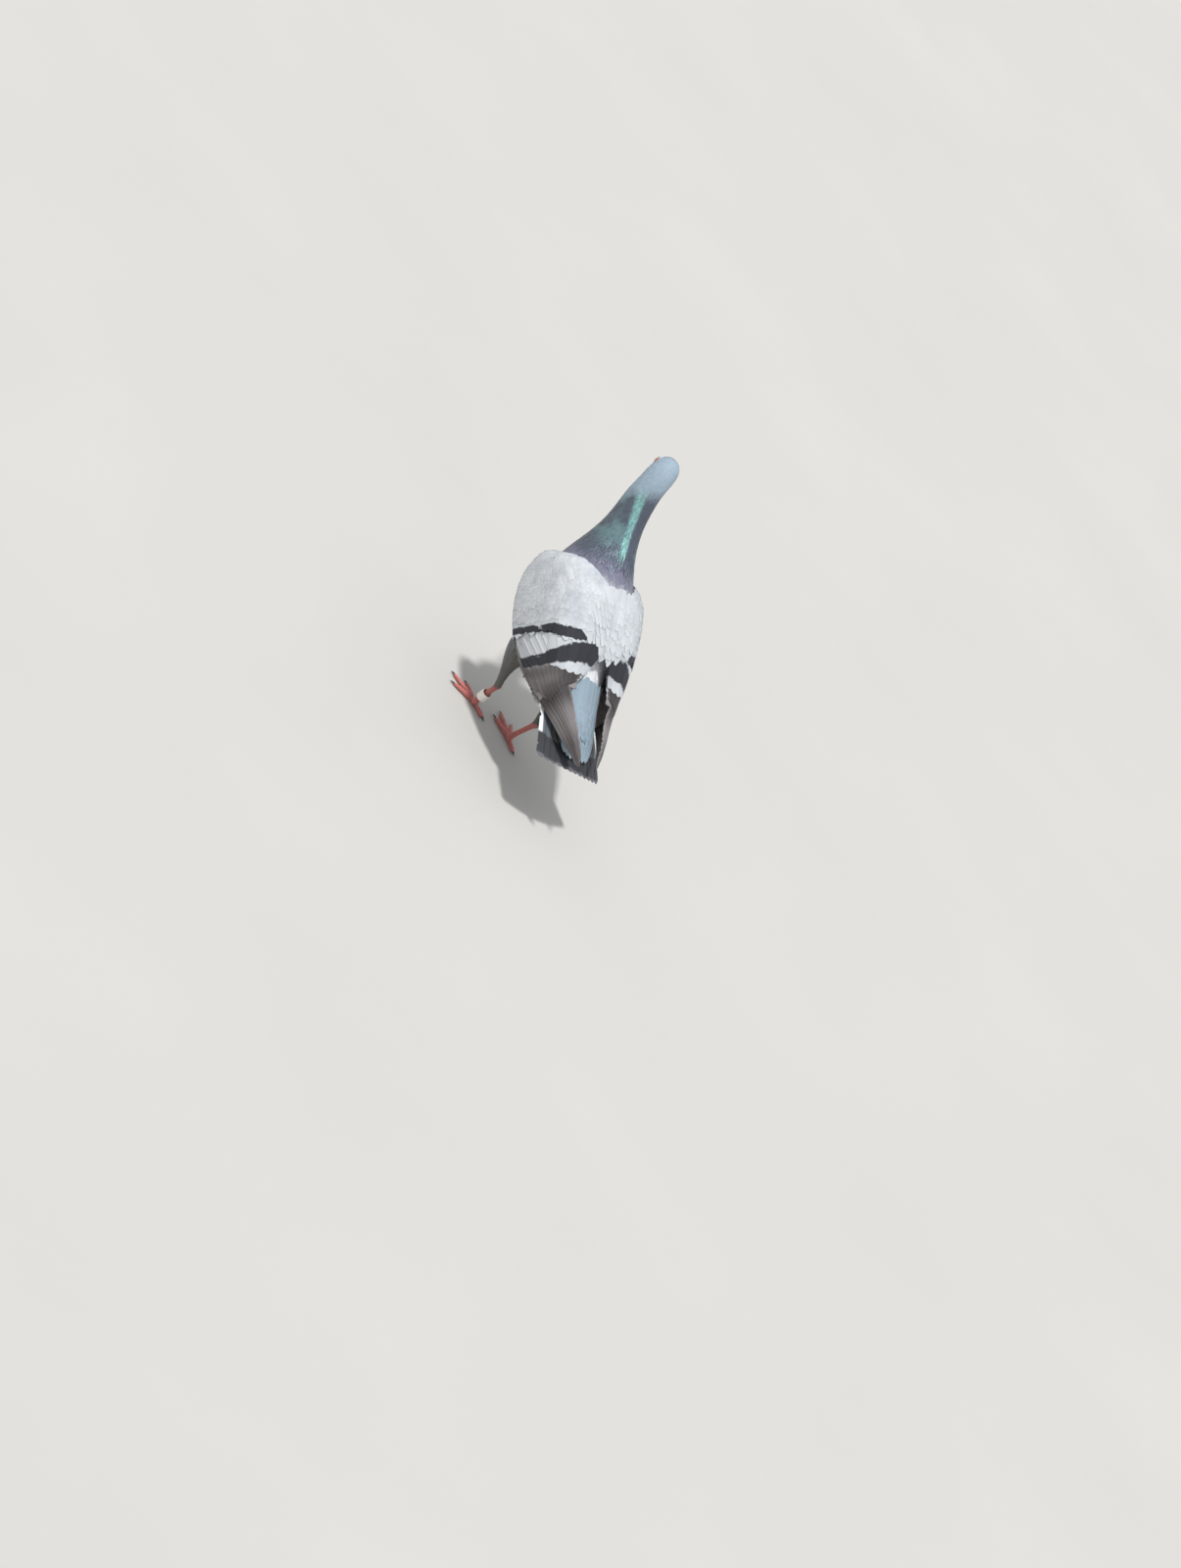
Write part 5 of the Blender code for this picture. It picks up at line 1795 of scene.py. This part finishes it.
class PIGEON_OT_feet(PieceOperator):
    """Scaly skin of shanks and toes, the plates on their fronts and the claws"""

    bl_idname = "pigeon.feet"
    bl_label = "Feet"

    def execute(self, context):
        rng = np.random.default_rng(sizes().seed + 4)
        skin, plate = self.skin_material(), self.plate_material()
        scute = vane("scute_vane", 5, 4, 0.44, 0.44, 0.2)
        claw_finish = horn("Claw Horn", "claw", 0.35, 0.00004)
        for side_name in SIDES:
            nodes = [f"tarsus_{side_name}"] + [f"toe_{side_name}_{toe}" for toe in TOES]
            foot = eased_nodes(f"foot_{side_name}", nodes, 0.00042, 5, skin, "leg_skin")
            rows = self.plates(side_name, rng)
            name = f"scutes_{side_name}"
            lay(name, scute, foot, rows, plate, "leg_skin", follow=1.0, lift=0.10, ruffle=0.05)
            claws = [f"claw_{side_name}_{toe}" for toe in TOES]
            piece = copy_of_nodes(f"claws_{side_name}", claws)
            modify(piece, "SUBSURF", levels=2, render_levels=2)
            piece = evaluated(piece, f"claws_{side_name}_horn")
            piece.data.materials.append(claw_finish)
            finish(piece, "claw", *claws)
        return {"FINISHED"}

    def plates(self, side_name, rng):
        """Roots of the plates down the front of the shank and along the top of each toe."""
        roots = Roots()

        def cast(rays, spot, way, lie, width, length):
            hit, normal, _, _ = rays.ray_cast(Vector(spot), Vector(way))
            if hit is not None:
                roots.add(hit, normal, lie, width, length)

        for toe in TOES:
            node = f"toe_{side_name}_{toe}"
            rays, cloud = tree_of(node), node_points(node)
            end = np.array(sum(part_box(f"claw_{side_name}_{toe}"), Vector()) / 2)
            start = cloud[np.linalg.norm(cloud - end, axis=1).argmax()]
            way = (end - start) * (1, 1, 0)
            pitch = TOE_PLATE_PITCH * MM / np.linalg.norm(way)
            for share in np.arange(TOE_PLATES_START, TOE_PLATES_END, pitch):
                x, y, _ = start + way * share
                cast(rays, (x, y, 0.05), (0, 0, -1), way, 4.3 - 1.3 * share, TOE_PLATE_LENGTH)
        node = f"tarsus_{side_name}"
        rays, cloud = tree_of(node), node_points(node)
        top, low = cloud[cloud[:, 2] > 0.033].mean(0), cloud[cloud[:, 2] < 0.011].mean(0)
        for share in np.arange(SHANK_PLATES_START, SHANK_PLATES_END, SHANK_PLATE_PITCH):
            spot = Vector(top + (low - top) * share)
            for turn in SHANK_PLATE_TURNS:
                way = Vector((math.sin(turn), -math.cos(turn), 0))
                cast(rays, spot + way * 0.02, -way, low - top, SHANK_PLATE_SIZE, SHANK_PLATE_SIZE)
        number = np.arange(len(roots.rows))
        spots = np.stack([number % 16 / 16, number // 16 / 16], 1)
        return roots.table(spots, rng, 0.08 * MM, thickness=0.16)

    def skin_material(self):
        m = Paint("Leg Skin", Roughness=0.55, Sheen_Weight=0.05)
        place = m.place()
        settings, values = {"feature": "DISTANCE_TO_EDGE"}, {"Vector": place, "Scale": 900.0}
        cells = m.make("ShaderNodeTexVoronoi", settings, values, "Distance")
        groove = 1 - m.step(cells, 0.0, 0.16)
        shade = m.mix(m.noise(place, 160.0) * 0.6, "leg", "scute")
        m.link("Base Color", m.tint(shade, 1 - groove * 0.35))
        m.bump(1 - groove, 0.00016)
        return m.material

    def plate_material(self):
        m = Paint("Leg Scutes", Roughness=0.5)
        place = m.place()
        _, along, length = m.split(m.attribute("vane"))
        shade = m.mix(m.step(along / length, 0.55, 1.0) * 0.8, "leg", "scute")
        m.link("Base Color", m.tint(shade, 0.8 + m.noise(place, 700.0) * 0.4))
        m.bump(m.noise(place, 1800.0), 0.00006)
        return m.material


class PIGEON_OT_ring(PieceOperator):
    """The plain pale ring on the left shank, with eased edges"""

    bl_idname = "pigeon.ring"
    bl_label = "Leg Ring"

    def execute(self, context):
        m = Paint("Ring Plastic", Roughness=0.32, Coat_Weight=0.2)
        place = m.place()
        worn = m.noise(place, 260.0, 5.0)
        m.link("Base Color", m.tint("ring", 0.86 + m.step(worn, 0.35, 0.7) * 0.14))
        m.bump(m.noise(place, 900.0), 0.00003)
        eased_nodes("leg_ring_band", ("leg_ring",), 0.00022, 8, m.material, "ring")
        return {"FINISHED"}


FLOOR_HALF = 12.0
FEET_Y = 1.33
KEY_WAY, KEY_ANGLE, KEY_DISTANCE = (0.29, 0.02, 0.95), math.radians(5), 2.0
SKY_COLOUR = (0.93, 0.96, 1.0, 1.0)


class PIGEON_OT_stage(PieceOperator):
    """Plain pale floor, soft studio light and the camera"""

    bl_idname = "pigeon.stage"
    bl_label = "Stage"

    def execute(self, context):
        stage, half = context.scene.pigeon_stage, FLOOR_HALF
        corners = [(-half, -half, 0), (half, -half, 0), (half, half, 0), (-half, half, 0)]
        material = clouded("Floor", "floor", 0.95, ((3.0, 4.0, 0.1, 0.0),), 0.0, Roughness=0.9)
        floor = mesh_of("floor", corners, [(0, 1, 2, 3)], smooth=False)
        object_of("floor", floor, material)
        light = bpy.data.lights.new("key", "SUN")
        light.energy, light.angle = stage.sun, KEY_ANGLE
        way = Vector(KEY_WAY).normalized()
        spot = sum(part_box("trunk"), Vector()) / 2 + way * KEY_DISTANCE
        self.place("key", light, spot, way.to_track_quat("Z", "Y"))
        world = bpy.data.worlds.new("studio")
        world.use_nodes = True
        sky = world.node_tree.nodes["Background"].inputs
        sky["Color"].default_value, sky["Strength"].default_value = SKY_COLOUR, stage.sky
        context.scene.world = world
        context.scene.view_settings.view_transform = "Standard"
        context.scene.camera = self.camera(stage)
        return {"FINISHED"}

    def place(self, name, data, location, turn):
        holder = object_of(name, data)
        holder.location = location
        holder.rotation_mode = "QUATERNION"
        holder.rotation_quaternion = turn
        return holder

    def camera(self, stage):
        """The camera aims beside and under the bird's feet, from behind and above."""
        a, e = stage.azimuth, stage.elevation
        back = Vector((math.sin(a) * math.cos(e), -math.cos(a) * math.cos(e), math.sin(e)))
        turn = back.to_track_quat("Z", "Y") @ Quaternion((0, 0, 1), stage.roll)
        data = bpy.data.cameras.new("camera")
        data.lens, data.sensor_width = stage.lens, 36.0
        data.clip_start, data.clip_end = 0.05, 60.0
        aim = Vector((0, FEET_Y * MM, 0)) + turn @ Vector((stage.aside, -stage.below, 0))
        return self.place("camera", data, aim + back * stage.distance, turn)


class VIEW3D_PT_pigeon(bpy.types.Panel):
    """Lists the pieces in the order that they are made"""

    bl_label = "Pigeon"
    bl_idname = "VIEW3D_PT_pigeon"
    bl_space_type = "VIEW_3D"
    bl_region_type = "UI"
    bl_category = "Pigeon"

    def draw(self, context):
        for group in (context.scene.pigeon_sizes, context.scene.pigeon_colours, context.scene.pigeon_stage):
            box = self.layout.box()
            for name in group.bl_rna.properties.keys():
                if name not in ("rna_type", "name"):
                    box.prop(group, name)
        for operator in OPERATORS:
            self.layout.operator(operator.bl_idname)


OPERATORS = (
    PIGEON_OT_skin, PIGEON_OT_body_feathers, PIGEON_OT_coverts, PIGEON_OT_scapulars,
    PIGEON_OT_flight_feathers, PIGEON_OT_tail, PIGEON_OT_bill, PIGEON_OT_eyes, PIGEON_OT_feet,
    PIGEON_OT_ring, PIGEON_OT_stage,
)
GROUPS = {"pigeon_sizes": PigeonSizes, "pigeon_colours": PigeonColours, "pigeon_stage": PigeonStage}
HELPERS = ("form", "saddle", "fine_vane", "soft_vane", "covert_vane", "scapular_vane", "scute_vane")


def register():
    for group in (*GROUPS.values(), *OPERATORS, VIEW3D_PT_pigeon):
        bpy.utils.register_class(group)
    for name, group in GROUPS.items():
        setattr(bpy.types.Scene, name, PointerProperty(type=group))


def unregister():
    for name in GROUPS:
        delattr(bpy.types.Scene, name)
    for group in reversed((*GROUPS.values(), *OPERATORS, VIEW3D_PT_pigeon)):
        bpy.utils.unregister_class(group)


def main():
    register()
    for operator in OPERATORS:
        group, name = operator.bl_idname.split(".")
        getattr(getattr(bpy.ops, group), name)()
    for name in HELPERS:
        bpy.data.objects.remove(bpy.data.objects[name])
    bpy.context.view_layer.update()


if __name__ == "__main__":
    main()
